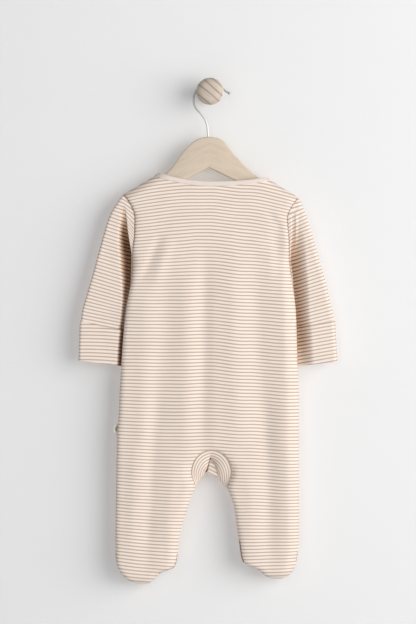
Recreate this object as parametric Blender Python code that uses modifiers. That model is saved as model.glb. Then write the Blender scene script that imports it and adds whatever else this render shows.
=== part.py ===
"""A baby's footed sleepsuit on a small wooden hanger, hooked over a turned wall peg.

Frame: metres, +Z up. The wall is the plane y = 0 and everything hangs in front of it, at negative y.
The origin is the centre of the peg's back face. The suit hangs with its back to -Y and its front to the wall,
so its left sleeve and leg, as the wearer says it, are at negative x.

Every panel is a height field on one shared form: a point (x, z) of the suit's outline gets a distance
`half_depth` from the mid plane, where the side seams, the shoulder ridge and the hanger lie.
"""

import math

import bmesh
import bpy
import numpy as np
from mathutils import Vector

# ---------------------------------------------------------------- driving sizes
MID_Y = -0.022  # plane of the hanger, the side seams and the hook
WALL = 0.0012  # thickness of the jersey
GAP = 0.0003  # between two sewn pieces, and between a piece and what it lies on
LIP = 0.0020  # straight run of the wall beside a closed seam, measured along y
INSET = 0.0001  # how far that run leans inwards
HEM = 0.0015  # first strip of cloth beside an open edge

COLUMNS = 10  # strips across half a panel
RIDGE_COLUMNS = 3  # of these, the ones along the shoulder
UPPER_ROWS = (0, 0.001, 0.014, 0.05, 0.13, 0.26, 0.42, 0.58, 0.74, 0.87, 0.95, 0.986, 1)
TORSO_ROWS = 6
ARCH_ROWS = 6
ARM_ROWS = 3  # straight ends of the gusset
LEG_ROWS = 4
FOOT_ROWS = 6

SIDE_RADIUS = 0.017
RIDGE_RADIUS = 0.014
LEG_RADIUS = 0.015
TOE_RADIUS = 0.013
ARMHOLE_KEEP = 0.78  # share of the depth that is left at the armhole's edge

UNDERARM_Z = -0.248
CENTRE_X = 0.0018  # centre of the gusset and of the front
ARCH_Z, ARCH_RX, ARCH_RZ = -0.5065, 0.0267, 0.0310  # gusset seam: half an ellipse
GUSSET_END_Z = -0.5255
GUSSET_END_RX = 0.0250
FOLD_END_RX = 0.0225  # lower edge of the gusset, at its two ends
FOLD_TOP = (-0.0010, -0.4900)
ARCH_KEEP_TOP, ARCH_KEEP_END = 0.86, 0.22
ANKLE_Z = -0.5980

SLEEVE_PLACES = (0, 0.05, 0.12, 0.22, 0.34, 0.46, 0.58, 0.70, 0.80, 0.86, 0.93, 1.0)  # sections
CUFF_START, CUFF_END = 0.80, 1.04
SLEEVE_RUN = 0.0500  # drop for each whole step of `along` past the sleeve's end
BINDING_WALL = 0.0012
BINDING_EASE = 0.07  # how much further the band stands off the panels where it turns at the ridge
PLACKET_HALF_WIDTH = 0.0068
PLACKET_END_Z = -0.5105
POPPER_RADIUS, POPPER_HEIGHT = 0.0045, 0.0016
POPPER_TOP_Z, POPPER_STEP, POPPER_COUNT = -0.1760, 0.0555, 6

HANGER_THICKNESS, HANGER_EDGE = 0.010, 0.0020
WIRE_RADIUS = 0.00125
HOOK_X, HOOK_Z, HOOK_RADIUS = 0.0010, -0.0106, 0.0239
HOOK_TIP_DEG = 20.0
TIP_BALL_RADIUS = 0.0021
PEG_STEM_RADIUS = HOOK_Z + HOOK_RADIUS - WIRE_RADIUS - GAP
PEG_STEM_LENGTH, PEG_HEAD_RADIUS, PEG_HEAD_LENGTH = 0.030, 0.0179, 0.021


def table(names, *rows):
    """A short table: a dictionary with one array for each named column."""
    return dict(zip(names.split(), np.array(rows, float).T))


# Half thickness of the hanging suit, by height.
THICKNESS = table(
    "height depth",
    (-0.100, 0.0105), (-0.200, 0.0112), (-0.300, 0.0128), (-0.450, 0.0125),
    (-0.560, 0.0110), (-0.620, 0.0125), (-0.660, 0.0125),
)

# Outlines of the two halves. The outer edge is the armhole above the underarm and the side seam below it.
OUTER = {
    "left": table(
        "height x",
        (-0.1370, -0.1150), (-0.1460, -0.1085), (-0.1534, -0.1040), (-0.1682, -0.0996), (-0.1922, -0.1001),
        (-0.2072, -0.1022), (-0.2293, -0.1036), (-0.2480, -0.1042), (-0.2664, -0.1092), (-0.2943, -0.1131),
        (-0.3314, -0.1168), (-0.3632, -0.1186), (-0.3964, -0.1197), (-0.4335, -0.1215), (-0.4547, -0.1236),
        (-0.5196, -0.1245), (-0.5872, -0.1253), (-0.6124, -0.1252), (-0.6277, -0.1238), (-0.6363, -0.1200),
        (-0.6429, -0.1148), (-0.6489, -0.1070), (-0.6522, -0.1000), (-0.6537, -0.0935),
    ),
    "right": table(
        "height x",
        (-0.1409, 0.1169), (-0.1480, 0.1122), (-0.1551, 0.1075), (-0.1673, 0.1027), (-0.1829, 0.1035),
        (-0.1975, 0.1050), (-0.2222, 0.1066), (-0.2480, 0.1092), (-0.2664, 0.1120), (-0.2943, 0.1142),
        (-0.3314, 0.1163), (-0.3632, 0.1177), (-0.4096, 0.1190), (-0.4550, 0.1187), (-0.5196, 0.1185),
        (-0.5787, 0.1185), (-0.5990, 0.1178), (-0.6141, 0.1162), (-0.6277, 0.1140), (-0.6353, 0.1105),
        (-0.6410, 0.1060), (-0.6450, 0.1000), (-0.6466, 0.0945),
    ),
}
INNER = {
    "left": table(
        "height x",
        (-0.5255, -0.0207), (-0.5382, -0.0255), (-0.5581, -0.0310), (-0.5719, -0.0358), (-0.5923, -0.0405),
        (-0.6124, -0.0424), (-0.6250, -0.0443), (-0.6318, -0.0480), (-0.6345, -0.0545), (-0.6379, -0.0640),
        (-0.6430, -0.0700), (-0.6479, -0.0745), (-0.6520, -0.0795), (-0.6537, -0.0845),
    ),
    "right": table(
        "height x",
        (-0.5255, 0.0243), (-0.5347, 0.0273), (-0.5533, 0.0323), (-0.5787, 0.0358), (-0.5956, 0.0383),
        (-0.6140, 0.0408), (-0.6220, 0.0428), (-0.6269, 0.0463), (-0.6295, 0.0530), (-0.6330, 0.0610),
        (-0.6371, 0.0672), (-0.6420, 0.0722), (-0.6452, 0.0780), (-0.6466, 0.0835),
    ),
}
# Shoulder ridge: from the shoulder point to the tip of the neck binding. The panel ends short of the tip.
RIDGE = {
    "left": {"shoulder": (-0.1150, -0.1370), "tip": (-0.0665, -0.1087), "panel_end": 0.885},
    "right": {"shoulder": (0.1169, -0.1409), "tip": (0.0742, -0.1149), "panel_end": 0.875},
}
NECK_LOW = {"back": -0.1252, "front": -0.1600}  # height of the cloth's edge at the centre
NECK_POWER = {"back": 2.0, "front": 2.3}  # 2 is a parabola, more is a flatter bottom
NECK_ROW = 0.012  # share of the height that widens the first strip under the neck
NECK_TURN = 0.0010  # run in which the neck edge turns round at the ridge
BINDING_HEIGHT = 0.0052

# Drape folds of the two faces: soft troughs (positive) and ridges (negative) from a top to a bottom point.
FOLDS = {
    "back": table(
        "top_x top_z bottom_x bottom_z width depth",
        (-0.002, -0.235, -0.006, -0.470, 0.013, 0.0017),
        (0.036, -0.230, 0.040, -0.470, 0.012, -0.0012),
        (-0.036, -0.235, -0.044, -0.490, 0.012, -0.0013),
        (0.068, -0.215, 0.080, -0.600, 0.011, 0.0018),
        (-0.064, -0.270, -0.080, -0.610, 0.010, 0.0013),
        (-0.058, -0.185, -0.074, -0.245, 0.008, 0.0016),
        (0.082, -0.175, 0.090, -0.250, 0.007, 0.0015),
    ),
    "front": table(
        "top_x top_z bottom_x bottom_z width depth",
        (-0.040, -0.230, -0.046, -0.520, 0.012, 0.0015),
        (0.046, -0.240, 0.052, -0.500, 0.012, 0.0014),
        (-0.080, -0.300, -0.086, -0.560, 0.011, -0.0010),
        (0.084, -0.290, 0.082, -0.560, 0.011, 0.0012),
    ),
}

# Sleeves, one row for each section: the section's outer end, its inner end, how far that end is pushed
# back behind the body, where across the section that push starts, and the half thickness.
SLEEVE = {
    "left": table(
        "along outer_x outer_z inner_x inner_z back start depth",
        (0.00, -0.1150, -0.1370, -0.1042, -0.2480, 0.0000, 0.40, 0.0085),
        (0.06, -0.1222, -0.1416, -0.1066, -0.2500, 0.0008, 0.40, 0.0082),
        (0.13, -0.1276, -0.1520, -0.1088, -0.2540, 0.0024, 0.40, 0.0078),
        (0.22, -0.1335, -0.1670, -0.1106, -0.2620, 0.0046, 0.40, 0.0074),
        (0.34, -0.1398, -0.1885, -0.1117, -0.2715, 0.0070, 0.42, 0.0070),
        (0.50, -0.1500, -0.2250, -0.1118, -0.2850, 0.0090, 0.46, 0.0066),
        (0.65, -0.1600, -0.2620, -0.1124, -0.2985, 0.0096, 0.50, 0.0062),
        (0.80, -0.1700, -0.3060, -0.1144, -0.3160, 0.0096, 0.54, 0.0056),
        (1.00, -0.1711, -0.3560, -0.1176, -0.3640, 0.0096, 0.56, 0.0056),
    ),
    "right": table(
        "along outer_x outer_z inner_x inner_z back start depth",
        (0.00, 0.1169, -0.1409, 0.1092, -0.2480, 0.0000, 0.40, 0.0085),
        (0.06, 0.1214, -0.1448, 0.1116, -0.2500, 0.0008, 0.40, 0.0082),
        (0.13, 0.1245, -0.1535, 0.1137, -0.2542, 0.0024, 0.40, 0.0078),
        (0.22, 0.1292, -0.1680, 0.1147, -0.2620, 0.0046, 0.38, 0.0074),
        (0.34, 0.1352, -0.1880, 0.1143, -0.2720, 0.0070, 0.36, 0.0070),
        (0.50, 0.1450, -0.2235, 0.1132, -0.2860, 0.0090, 0.36, 0.0066),
        (0.65, 0.1550, -0.2600, 0.1136, -0.2990, 0.0096, 0.36, 0.0062),
        (0.80, 0.1648, -0.3030, 0.1144, -0.3160, 0.0096, 0.38, 0.0056),
        (1.00, 0.1684, -0.3570, 0.1166, -0.3640, 0.0096, 0.40, 0.0056),
    ),
}
# Crease of each sleeve beside its armhole seam, where both layers sink towards the wall.
CREASE = {
    "left": {"top": (-0.1165, -0.1560), "bottom": (-0.1120, -0.2450), "width": 0.0070, "depth": 0.0050},
    "right": {"top": (0.1175, -0.1600), "bottom": (0.1165, -0.2450), "width": 0.0070, "depth": 0.0050},
}

# Outline of the hanger's board: down the tops of both arms, round their ends and back to the notch.
HANGER_TOP = (-0.0027, -0.0607)
HANGER_NOTCH = (-0.0015, -0.1015)
HANGER = table(
    "left_x left_z right_x right_z",
    (-0.0133, -0.0631, 0.0105, -0.0631), (-0.0262, -0.0708, 0.0211, -0.0701), (-0.0358, -0.0809, 0.0293, -0.0809),
    (-0.0452, -0.0945, 0.0388, -0.0915), (-0.0536, -0.1050, 0.0506, -0.1033), (-0.0600, -0.1106, 0.0614, -0.1125),
    (-0.0700, -0.1157, 0.0730, -0.1196), (-0.0900, -0.1253, 0.0950, -0.1306), (-0.1015, -0.1324, 0.1025, -0.1358),
    (-0.1055, -0.1375, 0.1063, -0.1410), (-0.1015, -0.1424, 0.1023, -0.1457), (-0.0880, -0.1402, 0.0900, -0.1437),
    (-0.0600, -0.1308, 0.0620, -0.1322), (-0.0286, -0.1164, 0.0312, -0.1175),
)

# ---------------------------------------------------------------- the shared form


def read(source, name, at, key="height"):
    """Column `name` of a table at `at`, on a smooth curve that never overshoots its rows."""
    order = np.argsort(source[key])
    xs, ys = source[key][order], source[name][order]
    step = np.diff(xs)
    slope = np.diff(ys) / step
    both = slope[:-1] * slope[1:]
    total = np.where(both > 0, slope[:-1] + slope[1:], 1)
    tangent = np.concatenate([slope[:1], np.where(both > 0, 2 * both / total, 0), slope[-1:]])
    at = np.asarray(at, float)
    i = np.clip(np.searchsorted(xs, at) - 1, 0, len(step) - 1)
    s = np.clip((at - xs[i]) / step[i], 0, 1)
    return (
        (2 * s**3 - 3 * s**2 + 1) * ys[i] + (3 * s**2 - 2 * s**3) * ys[i + 1]
        + step[i] * ((s**3 - 2 * s**2 + s) * tangent[i] + (s**3 - s**2) * tangent[i + 1])
    )


def smoothstep(value, low=0.0, high=1.0):
    s = np.clip((value - low) / (high - low), 0, 1)
    return s * s * (3 - 2 * s)


def rounded(distance, radius, keep=0.0):
    """Share of the full depth at this distance from an edge: `keep` at the edge, 1 past the radius.
    With nothing kept the wall turns through a quarter circle, and with much kept it only leans."""
    keep = np.asarray(keep, float)
    inside = 1 - (1 - np.clip(distance / radius, 0, 1)) ** 2
    return keep + (1 - keep) * inside ** (0.5 + 0.5 * np.clip(keep / 0.4, 0, 1))


def inward(side):
    return 1 if side == "left" else -1


def ridge_z(side, x):
    (x0, z0), (x1, z1) = RIDGE[side]["shoulder"], RIDGE[side]["tip"]
    return z0 + (z1 - z0) * (x - x0) / (x1 - x0)


def fold_shift(face, x, z):
    """Sum of the drape folds of a face: how much of its depth they take away."""
    total = np.zeros(np.broadcast(x, z).shape)
    rows = FOLDS[face]
    for i in range(len(rows["depth"])):
        x0, z0, x1, z1 = (rows[name][i] for name in ("top_x", "top_z", "bottom_x", "bottom_z"))
        along = (z - z0) / (z1 - z0)
        across = x - (x0 + (x1 - x0) * along)
        ends = smoothstep(along, -0.12, 0.25) * smoothstep(-along, -1.12, -0.75)
        total = total + rows["depth"][i] * ends * np.exp(-((across / rows["width"][i]) ** 2))
    return total


def arch_width(z):
    """Half width of the gusset's seam at a height."""
    rise = np.sqrt(np.clip(1 - ((z - ARCH_Z) / ARCH_RZ) ** 2, 0, 1))
    straight = GUSSET_END_RX + (ARCH_RX - GUSSET_END_RX) * smoothstep(z, GUSSET_END_Z, ARCH_Z)
    return np.where(z >= ARCH_Z, ARCH_RX * rise, straight)


def half_depth(side, face, x, z):
    """Distance of the cloth's outer face from the mid plane."""
    x, z = np.asarray(x, float), np.asarray(z, float)
    shoulder_z = RIDGE[side]["shoulder"][1]
    outer = read(OUTER[side], "x", z)
    up_armhole = smoothstep(z, UNDERARM_Z, UNDERARM_Z + 0.4 * (shoulder_z - UNDERARM_Z))
    share = rounded((x - outer) * inward(side), SIDE_RADIUS, ARMHOLE_KEEP * up_armhole)
    share = share * rounded(ridge_z(side, x) - z, RIDGE_RADIUS)

    past_top = np.hypot((x - CENTRE_X) / ARCH_RX, (z - ARCH_Z) / ARCH_RZ) - 1
    from_arch = np.where(z >= ARCH_Z, past_top * ARCH_RX, np.abs(x - CENTRE_X) - arch_width(z))
    top_z = ARCH_Z + ARCH_RZ
    arch_keep = ARCH_KEEP_END + (ARCH_KEEP_TOP - ARCH_KEEP_END) * smoothstep(z, GUSSET_END_Z, top_z)
    by_gusset = rounded(from_arch, LEG_RADIUS, arch_keep)
    leg_keep = ARCH_KEEP_END * smoothstep(z, GUSSET_END_Z - 0.012, GUSSET_END_Z)
    from_leg_edge = (read(INNER[side], "x", z) - x) * inward(side)
    by_leg = rounded(from_leg_edge, LEG_RADIUS, leg_keep)
    share = share * np.where(z >= GUSSET_END_Z, by_gusset, by_leg)

    toe_z = OUTER[side]["height"].min()
    share = share * rounded(z - toe_z, TOE_RADIUS)
    full = read(THICKNESS, "depth", z) - fold_shift(face, x, z)
    return LIP + (full - LIP) * share


def neck_z(side, face, x, raised=0.0):
    """Height of the neck edge at x, between the ridge and the centre; `raised` is up the binding."""
    end_x, end_z = neck_end(side, raised)
    low = NECK_LOW[face] + BINDING_HEIGHT * raised
    across = np.clip((x - CENTRE_X) / (end_x - CENTRE_X), 0, 1)
    return end_z + (low - end_z) * (1 - across ** NECK_POWER[face])


def neck_end(side, raised=0.0):
    """Where the neck edge meets the ridge: the panel's own end, or further up for the binding."""
    (x0, z0), (x1, z1) = RIDGE[side]["shoulder"], RIDGE[side]["tip"]
    along = RIDGE[side]["panel_end"] * (1 - raised) + raised
    return x0 + (x1 - x0) * along, z0 + (z1 - z0) * along


# ---------------------------------------------------------------- grids of points


def across_half(outer, inner, outer_closed, inner_closed, side):
    """x of each column of a half panel at one height, close together where the wall turns."""
    first = outer + inward(side) * (INSET if outer_closed else HEM)
    last = inner - inward(side) * (INSET if inner_closed else HEM)
    spread = 0.5 - 0.5 * np.cos(math.pi * np.arange(COLUMNS - 1) / (COLUMNS - 2))
    return np.concatenate([[outer], first + (last - first) * spread, [inner]])


def top_edge(side, face, centre):
    """The columns' ends along the shoulder ridge and the neck, as arrays of x and z."""
    (x0, z0), (x1, z1) = RIDGE[side]["shoulder"], neck_end(side)
    along = np.concatenate([[0], np.linspace(HEM / abs(x1 - x0), 1, RIDGE_COLUMNS)])
    neck_x = neck_columns(side, 0, centre)[1:]
    x = np.concatenate([x0 + (x1 - x0) * along, neck_x])
    z = np.concatenate([z0 + (z1 - z0) * along, neck_z(side, face, neck_x)])
    return x, z


def upper_grid(side, face, centre):
    """Shoulder to underarm: a patch between the top edge, the armhole, the centre line and the underarm."""
    v = np.array(UPPER_ROWS)[:, None] + np.zeros(COLUMNS + 1)
    below_neck = np.arange(COLUMNS + 1) > RIDGE_COLUMNS
    v = v + NECK_ROW * below_neck * (1 - v) ** 6 * (v > 0)
    top_x, top_z = top_edge(side, face, centre)
    shoulder_x, shoulder_z = RIDGE[side]["shoulder"]
    arm_z = shoulder_z + (UNDERARM_Z - shoulder_z) * v
    arm_x = read(OUTER[side], "x", arm_z)
    low_x = across_half(arm_x[-1, 0], centre, True, False, side)
    u = (np.abs(low_x - low_x[0]) / abs(centre - low_x[0]))[None, :]
    centre_z = top_z[-1] + (UNDERARM_Z - top_z[-1]) * v
    x = (
        (1 - v) * top_x + v * low_x + (1 - u) * arm_x + u * centre
        - (1 - u) * ((1 - v) * shoulder_x + v * low_x[0]) - u * centre
    )
    z = (
        (1 - v) * top_z + v * UNDERARM_Z + (1 - u) * arm_z + u * centre_z
        - (1 - u) * ((1 - v) * shoulder_z + v * UNDERARM_Z) - u * ((1 - v) * top_z[-1] + v * UNDERARM_Z)
    )
    x[:, 1] = np.where(np.arange(len(x)) < len(x) - 1, arm_x[:, 0] + inward(side) * HEM, x[:, 1])
    x[0, 1], x[1, 1] = top_x[1], top_x[1]
    depth = half_depth(side, face, x, z)
    ridge = np.arange(COLUMNS + 1) <= RIDGE_COLUMNS
    x[1, ridge], z[1, ridge] = x[0, ridge], z[0, ridge] - INSET
    x[2, 1] = x[0, 1]
    depth[1, ridge] = LIP
    depth[0, ridge] = GAP / 2
    depth[-1, 0], depth[-1, 1] = GAP / 2, LIP
    return x, z, depth


def arch_heights():
    """Heights of the rows beside the gusset, from the top of its seam down to its ends."""
    turn = np.linspace(math.pi / 2, 0, ARCH_ROWS + 1)
    straight = np.linspace(ARCH_Z, GUSSET_END_Z, ARM_ROWS + 1)[1:]
    return np.concatenate([ARCH_Z + ARCH_RZ * np.sin(turn), straight])


def leg_heights(side, last):
    """Rows below the gusset: the leg, then the foot if `last` is the toe."""
    toe_z = OUTER[side]["height"].min()
    ankle = np.linspace(GUSSET_END_Z - 0.0006, ANKLE_Z, LEG_ROWS + 1)
    if last == "ankle":
        return ankle
    return np.concatenate([ankle, foot_heights(side)[1:], [toe_z]])


def foot_heights(side):
    """Rows of the foot, closest together near the toe."""
    toe_z = OUTER[side]["height"].min()
    turn = np.linspace(0, math.pi / 2, FOOT_ROWS + 1)
    return ANKLE_Z + (toe_z + INSET - ANKLE_Z) * np.sin(turn)


def lower_rows(side, face, centre, heights, zone):
    """Rows of a half panel below the underarm. Each row runs from the side seam to the centre or inner edge."""
    rows = []
    for z in heights:
        outer = float(read(OUTER[side], "x", z))
        if zone == "torso":
            inner = centre
        elif zone == "arch":
            width = float(arch_width(min(z, ARCH_Z + ARCH_RZ)))
            inner = CENTRE_X - inward(side) * (width + GAP)
            if z >= ARCH_Z + ARCH_RZ - 1e-9:
                inner = centre
        else:
            inner = float(read(INNER[side], "x", z))
        x = across_half(outer, inner, True, zone == "leg", side)
        zs = np.full_like(x, z)
        depth = half_depth(side, face, x, zs)
        depth[0], depth[1] = GAP / 2, LIP
        if zone == "leg":
            depth[-1], depth[-2] = GAP / 2, LIP
        rows.append((x, zs, depth))
    return [np.array(part) for part in zip(*rows)]


def half_panel(side, face, centre, last):
    """Points of half a face, from the shoulder down to the toe or the ankle."""
    torso_z = np.linspace(UNDERARM_Z, ARCH_Z + ARCH_RZ, TORSO_ROWS + 1)[1:-1]
    arch_z = arch_heights()
    arch_z[0] += GAP
    parts = [
        upper_grid(side, face, centre),
        lower_rows(side, face, centre, torso_z, "torso"),
        lower_rows(side, face, centre, arch_z, "arch"),
        lower_rows(side, face, centre, leg_heights(side, last), "leg"),
    ]
    x, z, depth = (np.concatenate([part[i] for part in parts]) for i in range(3))
    if last == "toe":
        depth[-1] = GAP / 2
        depth[-2] = np.minimum(depth[-2], LIP)
    return placed(x, z, depth, face)


def placed(x, z, depth, face):
    toward = -1 if face == "back" else 1
    return np.stack([x, MID_Y + toward * depth, z], axis=-1)


# ---------------------------------------------------------------- objects


def material(name, colour, roughness, metallic=0.0):
    made = bpy.data.materials.new(name)
    made.use_nodes = True
    shader = made.node_tree.nodes["Principled BSDF"]
    shader.inputs["Base Color"].default_value = (*colour, 1)
    shader.inputs["Roughness"].default_value = roughness
    shader.inputs["Metallic"].default_value = metallic
    return made


def new_object(name, mesh, finish):
    made = bpy.data.objects.new(name, mesh)
    suit.objects.link(made)
    mesh.materials.append(finish)
    return made


def add_grid(bm, points, closed=False):
    """One grid of quads through an array of points (rows, columns, 3)."""
    rows, columns = points.shape[:2]
    made = bmesh.ops.create_grid(bm, x_segments=columns - 1, y_segments=rows - 1, size=0.5)["verts"]
    for vert in made:
        column = round((vert.co.x + 0.5) * (columns - 1))
        row = round((vert.co.y + 0.5) * (rows - 1))
        vert.co = points[row, column]
    if closed:
        bmesh.ops.remove_doubles(bm, verts=made, dist=1e-7)


def face_away(bm, centre):
    """Turns all the faces at once, so that most of the area faces away from `centre`."""
    out = sum(face.calc_area() * face.normal.dot(face.calc_center_median() - centre) for face in bm.faces)
    if out < 0:
        bmesh.ops.reverse_faces(bm, faces=bm.faces)


def cloth(name, grids, finish, centre, closed=False, wall=WALL):
    """A sewn piece: its outer face through the grids, thickened inwards."""
    bm = bmesh.new()
    for points in grids:
        add_grid(bm, points, closed)
    bmesh.ops.remove_doubles(bm, verts=bm.verts, dist=2e-6)
    bmesh.ops.recalc_face_normals(bm, faces=bm.faces)
    face_away(bm, Vector(centre))
    mesh = bpy.data.meshes.new(name)
    bm.to_mesh(mesh)
    bm.free()
    mesh.shade_smooth()
    made = new_object(name, mesh, finish)
    shell = made.modifiers.new("Wall", "SOLIDIFY")
    shell.thickness = wall
    shell.offset = -1
    return made


def body_centre(z, x=0.0):
    return (x, MID_Y, z)


def back():
    grids = [half_panel(side, "back", CENTRE_X, "toe") for side in ("left", "right")]
    cloth("back", grids, jersey, (0, 0.4, -0.4))


def front(side):
    centre = CENTRE_X - inward(side) * GAP / 2
    cloth(f"front_{side}", [half_panel(side, "front", centre, "ankle")], jersey, (0, -0.4, -0.4))


def foot_upper(side):
    """Front of the foot: from the ankle seam to the seam round the sole."""
    toe_z = OUTER[side]["height"].min()
    heights = np.concatenate([[ANKLE_Z - GAP], foot_heights(side)[1:], [toe_z]])
    x, z, depth = lower_rows(side, "front", CENTRE_X, heights, "leg")
    swell = 0.0022 * np.sin(math.pi * np.clip((ANKLE_Z - z) / (ANKLE_Z - toe_z), 0, 1))
    inside = (depth > LIP * 1.01).astype(float)
    depth = depth + swell * inside
    depth[-1] = GAP / 2
    depth[-2] = np.minimum(depth[-2], LIP)
    cloth(f"foot_upper_{side}", [placed(x, z, depth, "front")], jersey, (0, -0.4, -0.4))


def gusset():
    """Arched strip between the legs: from the seam on the back, round under the crotch, to the seam on the front."""
    heights = arch_heights()
    z_seam = np.concatenate([heights[::-1], heights[1:]])
    half = (len(z_seam) - 1) // 2
    sign = np.where(np.arange(len(z_seam)) <= half, -1, 1)
    width = arch_width(z_seam)
    width[half] = 0
    x_seam = CENTRE_X + sign * width
    along = np.linspace(-1, 1, len(z_seam))
    reach = np.cumsum(np.concatenate([[0], np.hypot(np.diff(x_seam), np.diff(z_seam))]))
    along = 2 * reach / reach[-1] - 1
    x_fold = FOLD_TOP[0] + np.where(
        along < 0, along * (FOLD_TOP[0] - CENTRE_X + FOLD_END_RX), along * (CENTRE_X + FOLD_END_RX - FOLD_TOP[0])
    )
    z_fold = FOLD_TOP[1] + (GUSSET_END_Z - FOLD_TOP[1]) * np.abs(along) ** 1.25
    seam_depth = np.where(
        x_seam < CENTRE_X, half_depth("left", "back", x_seam, z_seam), half_depth("right", "back", x_seam, z_seam)
    )
    front_depth = np.where(
        x_seam < CENTRE_X, half_depth("left", "front", x_seam, z_seam), half_depth("right", "front", x_seam, z_seam)
    )
    points = []
    for turn in np.linspace(0, math.pi, 9):
        x = x_seam + (x_fold - x_seam) * math.sin(turn)
        z = z_seam + (z_fold - z_seam) * math.sin(turn)
        depth = seam_depth if turn < math.pi / 2 else front_depth
        points.append(np.stack([x, MID_Y - depth * math.cos(turn), z], axis=-1))
    cloth("gusset", [np.array(points)], jersey, body_centre(-0.44))


def sleeve_rings(side, alongs):
    """Closed sections of a sleeve. Each has the same places as the armhole's rows, down the back and up the front."""
    outward = -inward(side)
    share = np.array(UPPER_ROWS)
    s = np.concatenate([share, share[-2:0:-1]])
    face = np.concatenate([np.full(len(share), -1.0), np.full(len(share) - 2, 1.0)])
    face[0] = face[len(share) - 1] = 0
    shoulder_z = RIDGE[side]["shoulder"][1]
    seam_z = shoulder_z + (UNDERARM_Z - shoulder_z) * s
    seam_x = read(OUTER[side], "x", seam_z) + outward * GAP
    seam_back, seam_front = (half_depth(side, name, seam_x, seam_z) for name in ("back", "front"))
    seam_depth = np.where(face < 0, seam_back, seam_front) * np.abs(face)
    bow = seam_x - (seam_x[0] + (seam_x[len(share) - 1] - seam_x[0]) * s)
    rounding = np.sqrt(np.clip(1 - np.abs(2 * s - 1) ** 3, 0, 1)) * np.abs(face)
    (x0, z0), (x1, z1) = CREASE[side]["top"], CREASE[side]["bottom"]
    rings = []
    for along in alongs:
        held = min(along, 1)
        at = {name: float(read(SLEEVE[side], name, held, "along")) for name in SLEEVE[side]}
        near_seam = 1 - smoothstep(held, 0, 0.55)
        x = at["outer_x"] + (at["inner_x"] - at["outer_x"]) * s + (bow + outward * GAP) * near_seam
        z = at["outer_z"] + (at["inner_z"] - at["outer_z"]) * s - max(along - 1, 0) * SLEEVE_RUN
        depth = seam_depth + (at["depth"] * rounding - seam_depth) * smoothstep(held, 0, 0.16)
        push = at["back"] * smoothstep(s, at["start"], 0.94)
        down = (z - z0) / (z1 - z0)
        off = (x - (x0 + (x1 - x0) * down)) / CREASE[side]["width"]
        sink = np.exp(-(off**2)) * smoothstep(down, -0.1, 0.3) * smoothstep(-down, -1.1, -0.6)
        sink = sink * CREASE[side]["depth"] * smoothstep(held, 0, 0.08)
        rings.append(np.stack([x, MID_Y + face * depth + push + sink, z], axis=-1))
    return np.array(rings)


def grown(rings, distance, turn):
    """The same sections a distance further out, square to each side of the section."""
    side = np.roll(rings, -1, axis=1) - rings
    along_x = np.hypot(side[..., 0], side[..., 2]) * np.sign(side[..., 0]) * turn
    normal = np.stack([side[..., 1], -along_x], axis=-1)
    normal = normal / np.linalg.norm(normal, axis=-1, keepdims=True)
    before = np.roll(normal, 1, axis=1)
    mitre = (normal + before) / (1 + (normal * before).sum(-1, keepdims=True))
    across = rings[:, len(UPPER_ROWS) - 1] - rings[:, 0]
    across = across / np.linalg.norm(across[:, [0, 2]], axis=-1, keepdims=True)
    move = mitre[..., :1] * across[:, None, :] * np.sign(across[:, None, :1]) * turn
    move[..., 1] = mitre[..., 1]
    return rings + move * distance


def closed(rings):
    return np.concatenate([rings, rings[:, :1]], axis=1)


def sleeve(side):
    rings = sleeve_rings(side, SLEEVE_PLACES)
    cloth(f"sleeve_{side}", [closed(rings)], jersey, sleeve_centre(side), closed=True)


def cuff(side):
    """Turned-back mitt: a band round the sleeve's end, made from the sleeve's own sections moved out."""
    places = [place for place in SLEEVE_PLACES if place >= CUFF_START] + [CUFF_END]
    turn = 1 if side == "left" else -1
    rings = grown(sleeve_rings(side, places), WALL + GAP, turn)
    cloth(f"cuff_{side}", [closed(rings)], jersey, sleeve_centre(side), closed=True)


def sleeve_centre(side):
    x = -0.138 if side == "left" else 0.138
    return (x, MID_Y + 0.002, -0.28)


def neck_shares():
    """Places of those columns, as shares of the half edge: one for the turn at the ridge, then ever wider."""
    count = COLUMNS - RIDGE_COLUMNS - 1
    return np.insert((np.arange(count + 1) / count) ** 1.5, 1, NECK_TURN / 0.072)


def neck_columns(side, raised, centre=CENTRE_X):
    """x of the columns along half a neck edge, from the ridge to the centre."""
    end_x, _ = neck_end(side, raised)
    return end_x + (centre - end_x) * neck_shares()


def neck_binding():
    """Closed band round the neck, standing on the panels' edges and made on the same columns."""
    paths = []
    by_ridge = 1 - smoothstep(neck_shares(), 0, 0.15)
    for row in (GAP / BINDING_HEIGHT, 0.35, 0.7, 0.93, 1.0):
        raised = row + (1 - row) * BINDING_EASE * by_ridge
        ring = []
        for face, order in (("back", ("left", "right")), ("front", ("right", "left"))):
            for number, side in enumerate(order):
                x = neck_columns(side, raised)
                z = neck_z(side, face, x, raised)
                depth = half_depth(side, face, x, z)
                depth[0] = 0
                points = placed(x, z, depth, face)
                points = points if number == 0 else points[::-1]
                ring.append(points[:-1])
        paths.append(np.concatenate(ring))
    outer = np.array(paths)
    outer = np.concatenate([outer, outer[:, :1]], axis=1)
    cloth("neck_binding", [outer], binding, body_centre(-0.14), closed=True, wall=BINDING_WALL)


def placket_depth(x, z):
    """Outer face of the popper band, a wall and a gap outside the fronts, and straight below them."""
    held = np.maximum(z, ARCH_Z + ARCH_RZ + 0.004)
    side = np.where(x < CENTRE_X, 0, 1)
    left = half_depth("left", "front", np.minimum(x, CENTRE_X - GAP), held)
    right = half_depth("right", "front", np.maximum(x, CENTRE_X + GAP), held)
    return np.where(side == 0, left, right) + WALL + GAP


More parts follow.
